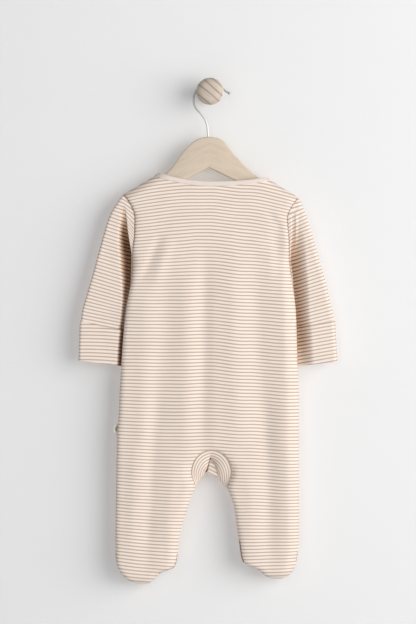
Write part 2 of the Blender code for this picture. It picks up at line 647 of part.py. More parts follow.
def placket():
    top_z = NECK_LOW["front"] - 0.0008
    z = np.concatenate([np.linspace(top_z, ARCH_Z + ARCH_RZ, 17), np.linspace(ARCH_Z + ARCH_RZ, PLACKET_END_Z, 5)[1:]])
    x = CENTRE_X + PLACKET_HALF_WIDTH * np.linspace(-1, 1, 4)
    xs, zs = np.meshgrid(x, z)
    slant = 0.005 * (xs - x[0]) / (x[-1] - x[0])
    zs = zs - slant * smoothstep(-zs, -ARCH_Z - ARCH_RZ, -PLACKET_END_Z)
    points = placed(xs, zs, placket_depth(xs, zs), "front")
    cloth("placket", [points], jersey, (0, -0.4, -0.4))


def popper(number):
    """Domed cap of one popper, seated on the band."""
    z = POPPER_TOP_Z - POPPER_STEP * number
    ring = np.linspace(0, 2 * math.pi, 9)
    rim = placket_depth(CENTRE_X + POPPER_RADIUS * np.cos(ring), z + POPPER_RADIUS * np.sin(ring))
    y = MID_Y + float(rim.max()) + GAP + POPPER_HEIGHT / 2
    bpy.ops.mesh.primitive_cylinder_add(
        vertices=16, radius=POPPER_RADIUS, depth=POPPER_HEIGHT, location=(CENTRE_X, y, z), rotation=(math.pi / 2, 0, 0)
    )
    made = bpy.context.object
    made.name = made.data.name = f"popper_{number + 1}"
    made.data.materials.append(popper_metal)
    edge = made.modifiers.new("Edge", "BEVEL")
    edge.width = 0.0004
    edge.segments = 1
    edge.limit_method = "ANGLE"
    take(made)


def side_label():
    """Blank ribbon, folded in half and sewn into the left side seam."""
    top, bottom, reach, half = -0.4421, -0.4536, 0.0056, 0.0016
    rows = []
    for z in (top, (top + bottom) / 2, bottom):
        edge = float(read(OUTER["left"], "x", z)) - GAP - 0.0002
        turn = np.linspace(-math.pi / 2, math.pi / 2, 7)
        x = np.concatenate([[edge], edge - (reach - half) - half * np.cos(turn), [edge]])
        y = np.concatenate([[-half], half * np.sin(turn), [half]])
        rows.append(np.stack([x, MID_Y + y, np.full_like(x, z)], axis=-1))
    cloth("side_label", [np.array(rows)], ribbon, (-0.1255, MID_Y, -0.448), wall=0.0010)


def take(made):
    """Moves an object that an operator made into the suit's collection."""
    for collection in list(made.users_collection):
        collection.objects.unlink(made)
    suit.objects.link(made)


def hanger():
    """Flat board with an arched neck and sloping arms, its edges eased."""
    right = np.stack([HANGER["right_x"], HANGER["right_z"]], axis=-1)
    left = np.stack([HANGER["left_x"], HANGER["left_z"]], axis=-1)
    outline = np.concatenate([[HANGER_TOP], right, [HANGER_NOTCH], left[::-1]])
    curve = bpy.data.curves.new("hanger", "CURVE")
    curve.dimensions = "2D"
    curve.fill_mode = "BOTH"
    curve.extrude = HANGER_THICKNESS / 2 - HANGER_EDGE
    curve.bevel_depth = HANGER_EDGE
    curve.bevel_resolution = 1
    curve.offset = -HANGER_EDGE
    curve.resolution_u = 2
    spline = curve.splines.new("BEZIER")
    spline.bezier_points.add(len(outline) - 1)
    spline.use_cyclic_u = True
    for point, (x, z) in zip(spline.bezier_points, outline):
        point.co = (x, z, 0)
        point.handle_left_type = point.handle_right_type = "AUTO"
    notch = spline.bezier_points[len(right) + 1]
    notch.handle_left_type = notch.handle_right_type = "VECTOR"
    made = bpy.data.objects.new("hanger", curve)
    suit.objects.link(made)
    curve.materials.append(wood)
    made.location = (0, MID_Y, 0)
    made.rotation_euler = (math.pi / 2, 0, 0)


def hook():
    """Wire hook: over the peg's stem, round to the left and down into the top of the board."""
    arc = np.radians(np.linspace(HOOK_TIP_DEG, 212, 19))
    x = HOOK_X + HOOK_RADIUS * np.cos(arc)
    z = HOOK_Z + HOOK_RADIUS * np.sin(arc)
    top_x, top_z = HANGER_TOP
    bend = [(-0.0130, -0.0300), (-0.0075, -0.0370), (-0.0040, -0.0445), (top_x, -0.0520), (top_x, top_z + GAP)]
    line = np.concatenate([np.stack([x, z], axis=-1), bend])
    curve = bpy.data.curves.new("hook", "CURVE")
    curve.dimensions = "3D"
    curve.bevel_depth = WIRE_RADIUS
    curve.bevel_resolution = 2
    curve.use_fill_caps = True
    spline = curve.splines.new("POLY")
    spline.points.add(len(line) - 1)
    for point, (px, pz) in zip(spline.points, line):
        point.co = (px, MID_Y, pz, 1)
    curve.materials.append(steel)
    made = bpy.data.objects.new("hook", curve)
    suit.objects.link(made)
    tip = line[0] + (line[0] - line[1]) / np.linalg.norm(line[0] - line[1]) * (TIP_BALL_RADIUS + GAP)
    bpy.ops.mesh.primitive_uv_sphere_add(
        segments=14, ring_count=8, radius=TIP_BALL_RADIUS, location=(tip[0], MID_Y, tip[1])
    )
    ball = bpy.context.object
    ball.name = ball.data.name = "hook_tip"
    ball.data.materials.append(steel)
    take(ball)


def peg():
    """Turned peg: a stem against the wall and a rounded head, as one profile turned about y."""
    front_y = -PEG_STEM_LENGTH - PEG_HEAD_LENGTH
    dome = np.radians(np.linspace(90, 0, 6))
    head_back = np.radians(np.linspace(0, -70, 4))
    swell = PEG_HEAD_LENGTH * 0.5
    profile = [(0.0, -front_y)]
    profile += [
        (PEG_HEAD_RADIUS * math.cos(a) ** 0.7 if a < math.pi / 2 - 1e-6 else 0.0, PEG_STEM_LENGTH + swell + swell * math.sin(a))
        for a in dome[1:]
    ]
    profile += [
        (
            PEG_STEM_RADIUS + (PEG_HEAD_RADIUS - PEG_STEM_RADIUS) * math.cos(a) ** 0.8,
            PEG_STEM_LENGTH + swell + swell * math.sin(a),
        )
        for a in head_back[1:]
    ]
    profile += [(PEG_STEM_RADIUS, PEG_STEM_LENGTH - 0.001), (PEG_STEM_RADIUS, 0.0), (0.0, 0.0)]
    mesh = bpy.data.meshes.new("peg")
    mesh.from_pydata([(r, 0, h) for r, h in profile], [(i, i + 1) for i in range(len(profile) - 1)], [])
    made = new_object("peg", mesh, wood)
    turn = made.modifiers.new("Turn", "SCREW")
    turn.axis = "Z"
    turn.steps = turn.render_steps = 24
    turn.use_merge_vertices = True
    turn.merge_threshold = 0.00001
    made.rotation_euler = (math.pi / 2, 0, 0)


for old in list(bpy.data.objects):
    bpy.data.objects.remove(old)
suit = bpy.data.collections.new("sleepsuit")
bpy.context.scene.collection.children.link(suit)
jersey = material("jersey", (0.83, 0.73, 0.64), 0.95)
binding = material("binding", (0.90, 0.85, 0.78), 0.95)
ribbon = material("ribbon", (0.90, 0.87, 0.80), 0.85)
popper_metal = material("popper", (0.86, 0.83, 0.78), 0.45)
wood = material("wood", (0.72, 0.58, 0.45), 0.6)
steel = material("steel", (0.75, 0.75, 0.76), 0.25, 1.0)

back()
gusset()
neck_binding()
placket()
side_label()
for half in ("left", "right"):
    front(half)
    foot_upper(half)
    sleeve(half)
    cuff(half)
for index in range(POPPER_COUNT):
    popper(index)
hanger()
hook()
peg()
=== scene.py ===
import math
import bmesh
import bpy
import numpy as np
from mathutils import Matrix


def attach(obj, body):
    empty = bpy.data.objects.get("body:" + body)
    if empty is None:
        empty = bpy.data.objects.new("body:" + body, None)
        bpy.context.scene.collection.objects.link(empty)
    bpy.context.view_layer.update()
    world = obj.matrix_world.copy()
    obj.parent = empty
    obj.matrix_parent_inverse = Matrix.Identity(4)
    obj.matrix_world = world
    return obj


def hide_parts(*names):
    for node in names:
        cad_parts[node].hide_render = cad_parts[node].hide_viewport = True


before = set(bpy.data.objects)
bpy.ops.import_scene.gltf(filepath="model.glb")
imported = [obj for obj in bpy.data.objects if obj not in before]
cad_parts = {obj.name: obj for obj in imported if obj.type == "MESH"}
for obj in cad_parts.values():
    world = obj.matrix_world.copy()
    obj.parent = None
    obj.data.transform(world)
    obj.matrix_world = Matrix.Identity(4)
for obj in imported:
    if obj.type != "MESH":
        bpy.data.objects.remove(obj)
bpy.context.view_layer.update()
print("solids loaded:", len(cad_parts))

# Metres, z up. The wall is y = 0, and the suit hangs with its back to -y.
sides = ("left", "right")
plainColumns = ("t", "along", "lean")  # columns of tables that hold shares; the others are in millimetres


# curves

def table(names, *rows):  # one array for each named column
    columns = zip(names.split(), np.array(rows, float).T)
    return {name: column / (1 if name in plainColumns else 1000) for name, column in columns}


# A smooth curve through the rows: cubics whose slope at a row is the harmonic mean of the slopes on its two
# sides, so the curve never overshoots.
def follow(rows, name, at, key="z"):
    order = np.argsort(rows[key])
    xs, ys = rows[key][order], rows[name][order]
    step = np.diff(xs)
    slope = np.diff(ys) / step
    both = slope[:-1] * slope[1:]
    total = np.where(both > 0, slope[:-1] + slope[1:], 1)
    tangent = np.concatenate([slope[:1], np.where(both > 0, 2 * both / total, 0), slope[-1:]])
    at = np.asarray(at, float)
    i = np.clip(np.searchsorted(xs, at) - 1, 0, len(step) - 1)
    s = np.clip((at - xs[i]) / step[i], 0, 1)
    return (
        (2 * s**3 - 3 * s**2 + 1) * ys[i] + (3 * s**2 - 2 * s**3) * ys[i + 1]
        + step[i] * ((s**3 - 2 * s**2 + s) * tangent[i] + (s**3 - s**2) * tangent[i + 1])
    )


def ease(value, low=0.0, high=1.0):  # 0 to 1 between low and high, level at both ends
    s = np.clip((value - low) / (high - low), 0, 1)
    return s * s * (3 - 2 * s)


def bell(distance, width, power=2):  # 1 at no distance, dying away over the width
    return np.exp(-((distance / width) ** power))


# Share of the full depth at a distance from an edge: a quarter circle, squarer with a power over 2. The
# edge itself keeps a share; with much kept, what is left is only a lean.
def roll(distance, radius, keep=0.0, power=2.0):
    keep = np.asarray(keep, float)
    inside = 1 - (1 - np.clip(distance / radius, 0, 1)) ** power
    return keep + (1 - keep) * inside ** (1 / power + (1 - 1 / power) * np.clip(keep / 0.4, 0, 1))


def spread(count):  # 0 to 1, closest together at both ends
    return 0.5 - 0.5 * np.cos(math.pi * np.arange(count + 1) / count)


def unit(vectors):  # the same directions, each of length 1
    return vectors / np.linalg.norm(vectors, axis=-1, keepdims=True)


def travel(points, axis=0):  # distance along a row of points from its first one
    steps = np.diff(points, axis=axis, prepend=np.take(points, [0], axis))
    return np.linalg.norm(steps, axis=-1).cumsum(axis)


def placesOn(path, at):  # points of a path at these distances from its start
    run = travel(path)
    return np.stack([np.interp(at, run, column) for column in path.T], -1)


# node trees

class Wire:  # a socket that takes part in sums like a number
    def __init__(self, paint, socket):
        self.paint, self.socket = paint, socket

    def math(self, operation, *values):
        return self.paint.math(operation, self, *values)

    def __add__(self, other):
        return self.math("ADD", other)

    def __sub__(self, other):
        return self.math("SUBTRACT", other)

    def __mul__(self, other):
        return self.math("MULTIPLY", other)

    def __truediv__(self, other):
        return self.math("DIVIDE", other)

    def __rsub__(self, other):
        return self.paint.math("SUBTRACT", other, self)

    __radd__ = __add__

    def wave(self):  # rises from 0 to 1 over each unit
        return self.math("FRACT")

    def peak(self):  # 1 in the middle of each unit, 0 at its ends
        return 1 - (self.wave() - 0.5).math("ABSOLUTE") * 2

    def limit(self, low, high):  # 0 to 1 between two values
        return self.paint.node("MapRange", {"interpolation_type": "SMOOTHSTEP"},
                               {0: self, 1: low, 2: high, 3: 0.0, 4: 1.0})


class Paint:  # one material on the principled shader
    def __init__(self, name, fixed):
        self.material = bpy.data.materials.new(name)
        self.material.use_nodes = True
        self.tree = self.material.node_tree
        self.shader = self.tree.nodes["Principled BSDF"]
        for socket, value in fixed.items():
            self.shader.inputs[socket].default_value = value

    def node(self, kind, settings=None, sockets=None, out=0):
        made = self.tree.nodes.new("ShaderNode" + kind)
        for name, value in (settings or {}).items():
            if name == "stops":
                for place, _ in value[1:-1]:
                    made.color_ramp.elements.new(place)
                for element, (place, colour) in zip(made.color_ramp.elements, value):
                    element.position, element.color = place, (*colour, 1)
            else:
                setattr(made, name, value)
        for name, value in (sockets or {}).items():
            self.join(made.inputs[name], value)
        return Wire(self, made.outputs[out])

    def join(self, socket, value):
        if isinstance(value, Wire):
            self.tree.links.new(value.socket, socket)
        elif isinstance(value, tuple) and len(value) == 3 and socket.type == "RGBA":
            socket.default_value = (*value, 1)
        else:
            socket.default_value = value

    def math(self, operation, *values):
        return self.node("Math", {"operation": operation}, dict(enumerate(values)))

    def mix(self, share, first, second, blend="MIX"):
        settings = {"data_type": "RGBA", "blend_type": blend}
        return self.node("Mix", settings, {0: share, 6: first, 7: second}, 2)

    def noise(self, place, scale, detail=2.0, rough=0.5):
        sockets = {"Vector": place, "Scale": scale, "Detail": detail, "Roughness": rough}
        return self.node("TexNoise", None, sockets)

    def objectPlace(self):
        return self.node("TexCoord", None, None, 3)

    def clothPlace(self):
        return self.node("UVMap", {"uv_map": "cloth"})

    def parts(self, place):  # the three numbers of a place
        split = self.node("SeparateXYZ", None, {0: place}).socket.node
        return [Wire(self, output) for output in split.outputs]

    def finish(self, colour=None, rough=None, height=None, strength=0.3, distance=0.0003):
        if colour is not None:
            self.join(self.shader.inputs["Base Color"], colour)
        if rough is not None:
            self.join(self.shader.inputs["Roughness"], rough)
        if height is not None:
            bump = self.node("Bump", None, {"Strength": strength, "Distance": distance, "Height": height})
            self.join(self.shader.inputs["Normal"], bump)
        return self.material


# the cloths

jersey = dict(
    pitch=0.00466, courses=7, wale=0.00092,  # one stripe repeat, rows of loops in it, width of a loop
    slant=0.62, edge=0.00022, drift=0.0003,  # slope of a loop's legs; how far loops and yarn push an edge
    cream=(0.862, 0.762, 0.696), tan=(0.475, 0.374, 0.300), worn=(0.560, 0.452, 0.374),
    dark=0.35, soft=0.075,  # share of the repeat that is dark, and half its soft edge
    fuzzScale=1400.0, driftScale=46.0, bump=0.35, bumpDepth=0.00025,
    mottle=[(0.30, (0.93, 0.925, 0.92)), (0.72, (1.0, 1.0, 1.0))], groove=(0.90, 0.875, 0.85),
    shaded=(0.130, 0.062, 0.030),  # painted shade: the dark yarn deep in a crease
    creaseShade=[(0.0, (1.0, 1.0, 1.0)), (0.35, (0.94, 0.86, 0.785)), (0.65, (0.79, 0.645, 0.53)),
             (0.9, (0.47, 0.32, 0.21)), (1.0, (0.15, 0.085, 0.045))],
)
rib = dict(cream=(0.775, 0.692, 0.640), pitch=0.0034, courses=4, wale=0.0013)
# painted shade: the seam threads are coloured dark brown, standing in for the shade of the needle holes and
# the seams' grooves
shadedThreadLook = dict(cream=(0.20, 0.135, 0.100), wale=0.0004, pitch=0.002)


# Loops: columns `wale` wide, each a pair of legs that lean together, so a course is a row of chevrons. The
# stripe's edge follows the loops. The uv map "cloth" gives metres across and up the cloth. The attribute
# "crease" holds painted shade: 1 in the bottom of a deep fold, where the colour is darkened and warmed to
# stand in for the shade and the warm light bounced between the cloth there.
def knit(name, look, striped=True):
    paint = Paint(name, {"Roughness": 0.93, "Sheen Weight": 0.22, "Sheen Roughness": 0.45,
                         "Specular IOR Level": 0.18, "Sheen Tint": (1.0, 0.95, 0.88, 1)})
    place = paint.clothPlace()
    across, up, _ = paint.parts(place)
    fuzz = paint.noise(place, look["fuzzScale"], 2.0)
    drift = paint.noise(place, look["driftScale"], 3.0)
    leg = (across / look["wale"]).peak()
    course = up * (look["courses"] / look["pitch"]) + leg * look["slant"]
    loop = (course.peak() * 0.7 + 0.3) * (leg.math("POWER", 0.5) * 0.6 + 0.4)
    mottle = paint.node("ValToRGB", {"stops": look["mottle"]}, {0: drift * 0.55 + fuzz * 0.45})
    crease = paint.node("Attribute", {"attribute_name": "crease"}, None, 2)
    colour = look["cream"]
    if striped:
        edge = up + leg * look["edge"] + (drift - 0.5) * look["drift"]
        reach = ((edge / look["pitch"]).wave() - 0.5).math("ABSOLUTE")
        inStripe = 1 - reach.limit(look["dark"] / 2 - look["soft"], look["dark"] / 2 + look["soft"])
        # painted shade: the stripe yarn darkens towards the shaded colour where the crease attribute is
        # high
        yarn = paint.mix(crease * 0.9, paint.mix(fuzz, look["tan"], look["worn"]), look["shaded"])
        colour = paint.mix(inStripe, look["cream"], yarn)
    # painted shade: the colour is a little darker between the loops, where the knit's grooves fall in shade
    groove = paint.mix(loop, look["groove"], (1.0, 1.0, 1.0))
    # painted shade: a ramp driven by the crease attribute darkens and warms the colour in deep folds; it is
    # multiplied in with the mottle, which is the cloth's own random tone
    depth = paint.node("ValToRGB", {"stops": look["creaseShade"]}, {0: crease})
    for toneAndShade in (mottle, groove, depth):
        colour = paint.mix(1.0, colour, toneAndShade, "MULTIPLY")
    return paint.finish(colour, 0.90 + fuzz * 0.08, loop + fuzz * 0.4, look["bump"], look["bumpDepth"])


stripedJersey = knit("stripedJersey", jersey)
plainRib = knit("plainRib", {**jersey, **rib}, False)
shadeThread = knit("seamShadeThread", {**jersey, **shadedThreadLook}, False)
print("cloths made")


# meshes

def quadsOf(number):  # the faces between neighbours on a grid of vertex numbers
    corners = (number[..., :-1, :-1], number[..., :-1, 1:], number[..., 1:, 1:], number[..., 1:, :-1])
    return np.stack(corners, -1).reshape(-1, 4)


def mend(mesh, operation, part, **settings):  # one bmesh operation on all vertices or faces
    work = bmesh.new()
    work.from_mesh(mesh)
    operation(work, **{part: getattr(work, part)}, **settings)
    work.to_mesh(mesh)
    work.free()


def meshObject(name, points, quads, places, finish, weld=0.0, paintedShades=None):
    mesh = bpy.data.meshes.new(name)
    mesh.vertices.add(len(points))
    mesh.vertices.foreach_set("co", points.astype(np.float32).ravel())
    mesh.loops.add(quads.size)
    mesh.loops.foreach_set("vertex_index", quads.astype(np.int32).ravel())
    mesh.polygons.add(len(quads))
    mesh.polygons.foreach_set("loop_start", np.arange(0, quads.size, quads.shape[1], dtype=np.int32))
    mesh.update(calc_edges=True)
    if places is not None:
        layer = mesh.uv_layers.new(name="cloth")
        layer.data.foreach_set("uv", places[quads.ravel()].astype(np.float32).ravel())
    # the attribute "crease" carries painted shade for the cloth's colour
    if paintedShades is not None:
        layer = mesh.attributes.new("crease", "FLOAT", "POINT")
        layer.data.foreach_set("value", paintedShades.astype(np.float32))
    if weld:
        mend(mesh, bmesh.ops.remove_doubles, "verts", dist=weld)
    mesh.validate()
    mesh.shade_smooth()
    mesh.materials.append(finish)
    made = bpy.data.objects.new(name, mesh)
    bpy.context.scene.collection.objects.link(made)
    return made


# Joins grids of points (rows, columns, 3) with their uv (rows, columns, 2) and painted crease shade (rows,
# columns) into one sheet of quads that faces away from a point, welds what meets, and thickens it inwards.
def sheetMesh(name, grids, away, finish, wall=0.0012, weld=4e-6):
    points, places, paintedShades, quads, start = [], [], [], [], 0
    for place, uv, *crease in grids:
        flat = place.reshape(-1, 3)
        quad = quadsOf(np.arange(len(flat)).reshape(place.shape[:2]))
        corner = flat[quad]
        normal = np.cross(corner[:, 2] - corner[:, 0], corner[:, 3] - corner[:, 1])
        if (normal * (corner.mean(1) - away)).sum() < 0:
            quad = quad[:, ::-1]
        points.append(flat)
        places.append(uv.reshape(-1, 2))
        paintedShades.append(np.clip(crease[0], 0, 1).ravel() if crease else np.zeros(len(flat)))
        quads.append(quad + start)
        start += len(flat)
    points, places, paintedShades, quads = (np.concatenate(part) for part in (points, places, paintedShades, quads))
    made = meshObject(name, points, quads, places, finish, weld, paintedShades)
    shell = made.modifiers.new("wall", "SOLIDIFY")
    shell.thickness, shell.offset = wall, -1
    return made


# Closed sections (sections, places, 3) joined into a tube. Its ends are shut with a fan, or with `loop`
# they meet.
def tubeMesh(name, rings, finish, loop=False):
    sections, places = rings.shape[:2]
    points = rings.reshape(-1, 3)
    number = np.arange(sections * places).reshape(sections, places)
    if loop:
        number = np.concatenate([number, number[:1]])
    around = np.concatenate([number, number[:, :1]], axis=1)
    quads = quadsOf(around)
    run = travel(rings.mean(1))
    girth = travel(np.concatenate([rings[:, -1:], rings], axis=1), 1)[:, 1:]
    uv = np.stack([girth.ravel(), np.repeat(run, places)], -1)
    if not loop:
        first = len(points)
        points = np.concatenate([points, [rings[0].mean(0), rings[-1].mean(0)]])
        uv = np.concatenate([uv, [[0, 0], [0, run[-1]]]])
        rims = ((around[0, 1:], around[0, :-1], first), (around[-1, :-1], around[-1, 1:], first + 1))
        fans = [np.stack([a, b, np.full(places, tip), np.full(places, tip)], -1) for a, b, tip in rims]
        quads = np.concatenate([quads, *fans])
    made = meshObject(name, points, quads, uv, finish, 1e-7)
    mend(made.data, bmesh.ops.recalc_face_normals, "faces")
    return made


# Sections of a round bar along a path: circles square to the path, drawn on two axes got by crossing it
# with a third.
def barRings(path, radius, third, places):
    run = unit(np.gradient(path, axis=0))
    side = unit(np.cross(run, third))
    up = np.cross(side, run)
    turn = np.linspace(0, 2 * math.pi, places, endpoint=False)[:, None]
    return path[:, None] + radius * (side[:, None] * np.cos(turn) + up[:, None] * np.sin(turn))


# A profile of (radius, height) turned about an axis through a centre.
def turned(name, profile, centre, axis, finish, places=96):
    axis = unit(np.array(axis, float))
    other = unit(np.cross(axis, (0.0, 0.0, 1.0) if abs(axis[2]) < 0.9 else (1.0, 0.0, 0.0)))
    third = np.cross(axis, other)
    turn = np.linspace(0, 2 * math.pi, places, endpoint=False)[:, None]
    ring = other * np.cos(turn) + third * np.sin(turn)
    radius, height = np.array(profile).T[..., None, None]
    return tubeMesh(name, np.array(centre) + height * axis + radius * ring, finish)


# A rectangle whose corners are quarter circles: cosine and sine times the corner, moved out to where the
# corner's centre is.
def roundedBox(places, half, tall, corner):
    turn = np.linspace(0, 2 * math.pi, places, endpoint=False) + 0.01  # no place falls on an axis
    waves = ((np.cos(turn), half), (np.sin(turn), tall))
    return [np.sign(wave) * (size - corner) + corner * wave for wave, size in waves]


def dress(piece, slot, *nodes):  # the piece rides on the one body, and the solids it stands for are hidden
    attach(piece, "root")
    if nodes:
        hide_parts(*nodes)
    return piece


# Short threads at even steps along a path, coloured dark as painted shade of the seam: each a bar of six
# sides, thin at its ends, turned by `lean` from the path in the plane whose normal is `out`.
def stitchRow(name, path, out, spacing, length, radius, lean=0.0):
    at = np.arange(spacing / 2, travel(path)[-1], spacing)
    centre = placesOn(path, at)
    ahead = unit(placesOn(path, at + 1e-4) - placesOn(path, at - 1e-4))
    side = unit(np.cross(ahead, out))
    up = np.cross(side, ahead)
    along = ahead * math.cos(lean) + side * math.sin(lean)
    over = np.cross(up, along)
    station = (np.array([-1, -0.85, -0.4, 0.4, 0.85, 1]) * length / 2)[:, None, None]
    girth = (np.array([0, 0.7, 1, 1, 0.7, 0]) * radius)[:, None, None]
    turn = (np.arange(6) * math.pi / 3)[:, None]
    ring = np.cos(turn) * up[:, None] + np.sin(turn) * over[:, None]
    points = centre[:, None, None] + station * along[:, None, None] + girth * ring[:, None]
    number = np.arange(points[..., 0].size).reshape(points.shape[:3])
    flat = points.reshape(-1, 3)
    quads = quadsOf(np.concatenate([number, number[..., :1]], -1))
    return dress(meshObject(name, flat, quads, flat[:, [0, 2]], shadeThread, 1e-7), "jersey")


# the form that all panels share

suit = dict(
    midY=-0.022, centreX=0.0018, underarm=-0.248, ankle=-0.598,  # midY is the plane of the side seams
    seamGap=0.0003, seamDip=0.0008, dipWidth=(0.0011, 0.0010),  # room at a seam; hollow at armhole, arch
    armholeKeep=0.78, armholeRise=0.4,  # share of the depth kept there, over this share of its height
    sideRadius=0.017, ridgeRadius=0.014, legRadius=0.015, toeRadius=0.013,  # how far each edge rolls off
    sidePower=dict(left=4.6, right=2.0), legPower=dict(left=2.0, right=3.6),  # squarer edges of the back
    archZ=-0.5065, archRx=0.0267, archRz=0.0310,  # crotch seam: half an ellipse
    archEnd=-0.5255, archEndRx=0.0214, archKeep=(0.22, 0.86),  # its straight ends; depth kept there, on top
    keepFade=0.012, legLead=0.008,  # below the ends: that depth fades, and the leg's edge leaves the seam
)
midY, centreX, underarm = suit["midY"], suit["centreX"], suit["underarm"]
archZ, archEnd = suit["archZ"], suit["archEnd"]
archTop = archZ + suit["archRz"]
thickness = table(
    "z depth",
    (-100, 10.5), (-200, 11.2), (-300, 12.8), (-450, 12.5), (-560, 11), (-620, 12.5), (-660, 12.5),
)
outerEdge = {
    "left": table(
        "z x",
        (-137, -115), (-146, -108.5), (-153.4, -104), (-168.2, -99.6), (-192.2, -100.1), (-207.2, -102.2),
        (-229.3, -102.9), (-248, -103.6), (-266.4, -107.2), (-294.3, -111.9), (-331.4, -115.6),
        (-363.2, -117.7), (-396.4, -119.7), (-433.5, -121.5), (-454.7, -123.2), (-519.6, -124.5),
        (-587.2, -125.3), (-612.4, -125.2), (-627.7, -123.8), (-636.3, -120), (-642.9, -114.8),
        (-648.9, -107), (-652.2, -100), (-653.7, -93.5),
    ),
    "right": table(
        "z x",
        (-140.9, 116.9), (-148, 112.2), (-155.1, 107.5), (-167.3, 102.7), (-182.9, 103.5), (-197.5, 104.8),
        (-222.2, 105.2), (-248, 108.6), (-266.4, 111.3), (-294.3, 114.1), (-331.4, 115.4), (-363.2, 116.4),
        (-409.6, 118), (-455, 118), (-519.6, 118.4), (-578.7, 118.5), (-599, 117.8), (-614.1, 116.2),
        (-627.7, 114), (-635.3, 110.5), (-641, 106), (-645, 100), (-646.6, 94.5),
    ),
}
innerEdge = {
    "left": table(
        "z x",
        (-525.5, -20), (-538.2, -24.8), (-558.1, -31), (-571.9, -35.8), (-592.3, -40.5), (-612.4, -42.4),
        (-625, -44.3), (-631.8, -48), (-634.5, -54.5), (-637.9, -64), (-643, -70), (-647.9, -74.5),
        (-652, -79.5), (-653.7, -84.5),
    ),
    "right": table(
        "z x",
        (-525.5, 23.2), (-534.7, 26.6), (-553.3, 32.3), (-578.7, 35.8), (-595.6, 38.3), (-614, 40.8),
        (-622, 42.8), (-626.9, 46.3), (-629.5, 53), (-633, 61), (-637.1, 67.2), (-642, 72.2), (-645.2, 78),
        (-646.6, 83.5),
    ),
}
ridge = {
    "left": dict(shoulder=(-0.1150, -0.1370), tip=(-0.0665, -0.1087), panelEnd=0.885),
    "right": dict(shoulder=(0.1169, -0.1409), tip=(0.0742, -0.1149), panelEnd=0.875),
}
neck = dict(low={"back": -0.1252, "front": -0.1600}, power={"back": 2.0, "front": 2.3}, bandHeight=0.0052)

# Folds of the hanging cloth: troughs have a positive depth and ridges a negative one. Each is a soft groove
# from a top to a bottom point.
folds = {
    "back": table(
        "topX topZ lowX lowZ width depth",
        (-7, -215, -9.5, -490, 10.5, 2.8), (30, -205, 34, -480, 15, -2.1), (61, -230, 69, -500, 14, 2.7),
        (98, -250, 103, -610, 11, -1.9), (-30, -235, -34, -500, 13, -1.8), (-56, -250, -66, -470, 12, 1.5),
        (-84, -240, -94, -560, 13, -1.5), (-70, -370, -84, -645, 9, 2), (-101, -470, -104, -625, 9, -1.2),
        (-48, -480, -57, -600, 9, -1.3), (74, -400, 80, -630, 10, 2.5), (50, -500, 56, -620, 10, -1.3),
        (-66, -192, -89, -250, 6, 1.7), (-53, -196, -74, -262, 8, -1.7), (87, -185, 92, -252, 7, 1.8),
        (98, -172, 102, -215, 5, -1.2), (78, -160, 94, -186, 6, 1.2),
    ),
    "front": table(
        "topX topZ lowX lowZ width depth",
        (-40, -230, -46, -520, 12, 1.5), (46, -240, 52, -500, 12, 1.4), (-80, -300, -86, -560, 11, -1),
        (84, -290, 82, -560, 11, 1.2), (-70, -560, -84, -640, 9, 1), (70, -550, 82, -630, 9, 1),
    ),
}

foldFade = dict(top=(-0.15, 0.25), low=(-1.15, -0.72))  # shares of its length where a fold starts and ends


def inward(side):  # the sign of x towards the middle of the suit
    return 1 if side == "left" else -1


def ridgeZ(side, x):  # height of the shoulder ridge, a straight line
    (x0, z0), (x1, z1) = ridge[side]["shoulder"], ridge[side]["tip"]
    return z0 + (z1 - z0) * (x - x0) / (x1 - x0)


# All folds at a place summed: each a bell across its own line, faded in and out along it.
def foldDepth(face, x, z):
    rows = folds[face]
    x, z = x[..., None], z[..., None]
    along = (z - rows["topZ"]) / (rows["lowZ"] - rows["topZ"])
    off = x - (rows["topX"] + (rows["lowX"] - rows["topX"]) * along)
    ends = ease(along, *foldFade["top"]) * ease(-along, *foldFade["low"])
    return (rows["depth"] * ends * bell(off, rows["width"])).sum(-1)


def archWidth(z):  # half width of the crotch seam
    rise = np.sqrt(np.clip(1 - ((z - archZ) / suit["archRz"]) ** 2, 0, 1))
    straight = suit["archEndRx"] + (suit["archRx"] - suit["archEndRx"]) * ease(z, archEnd, archZ)
    return np.where(z >= archZ, suit["archRx"] * rise, straight)


def legEdge(side, z):  # inner edge of a leg, led smoothly out of the end of the crotch seam
    seam = centreX - inward(side) * (suit["archEndRx"] + suit["seamGap"])
    left = ease(-z, -archEnd, -archEnd + suit["legLead"])
    return seam + (follow(innerEdge[side], "x", z) - seam) * left


def toeZ(side):  # the lowest point of a foot
    return outerEdge[side]["z"].min()


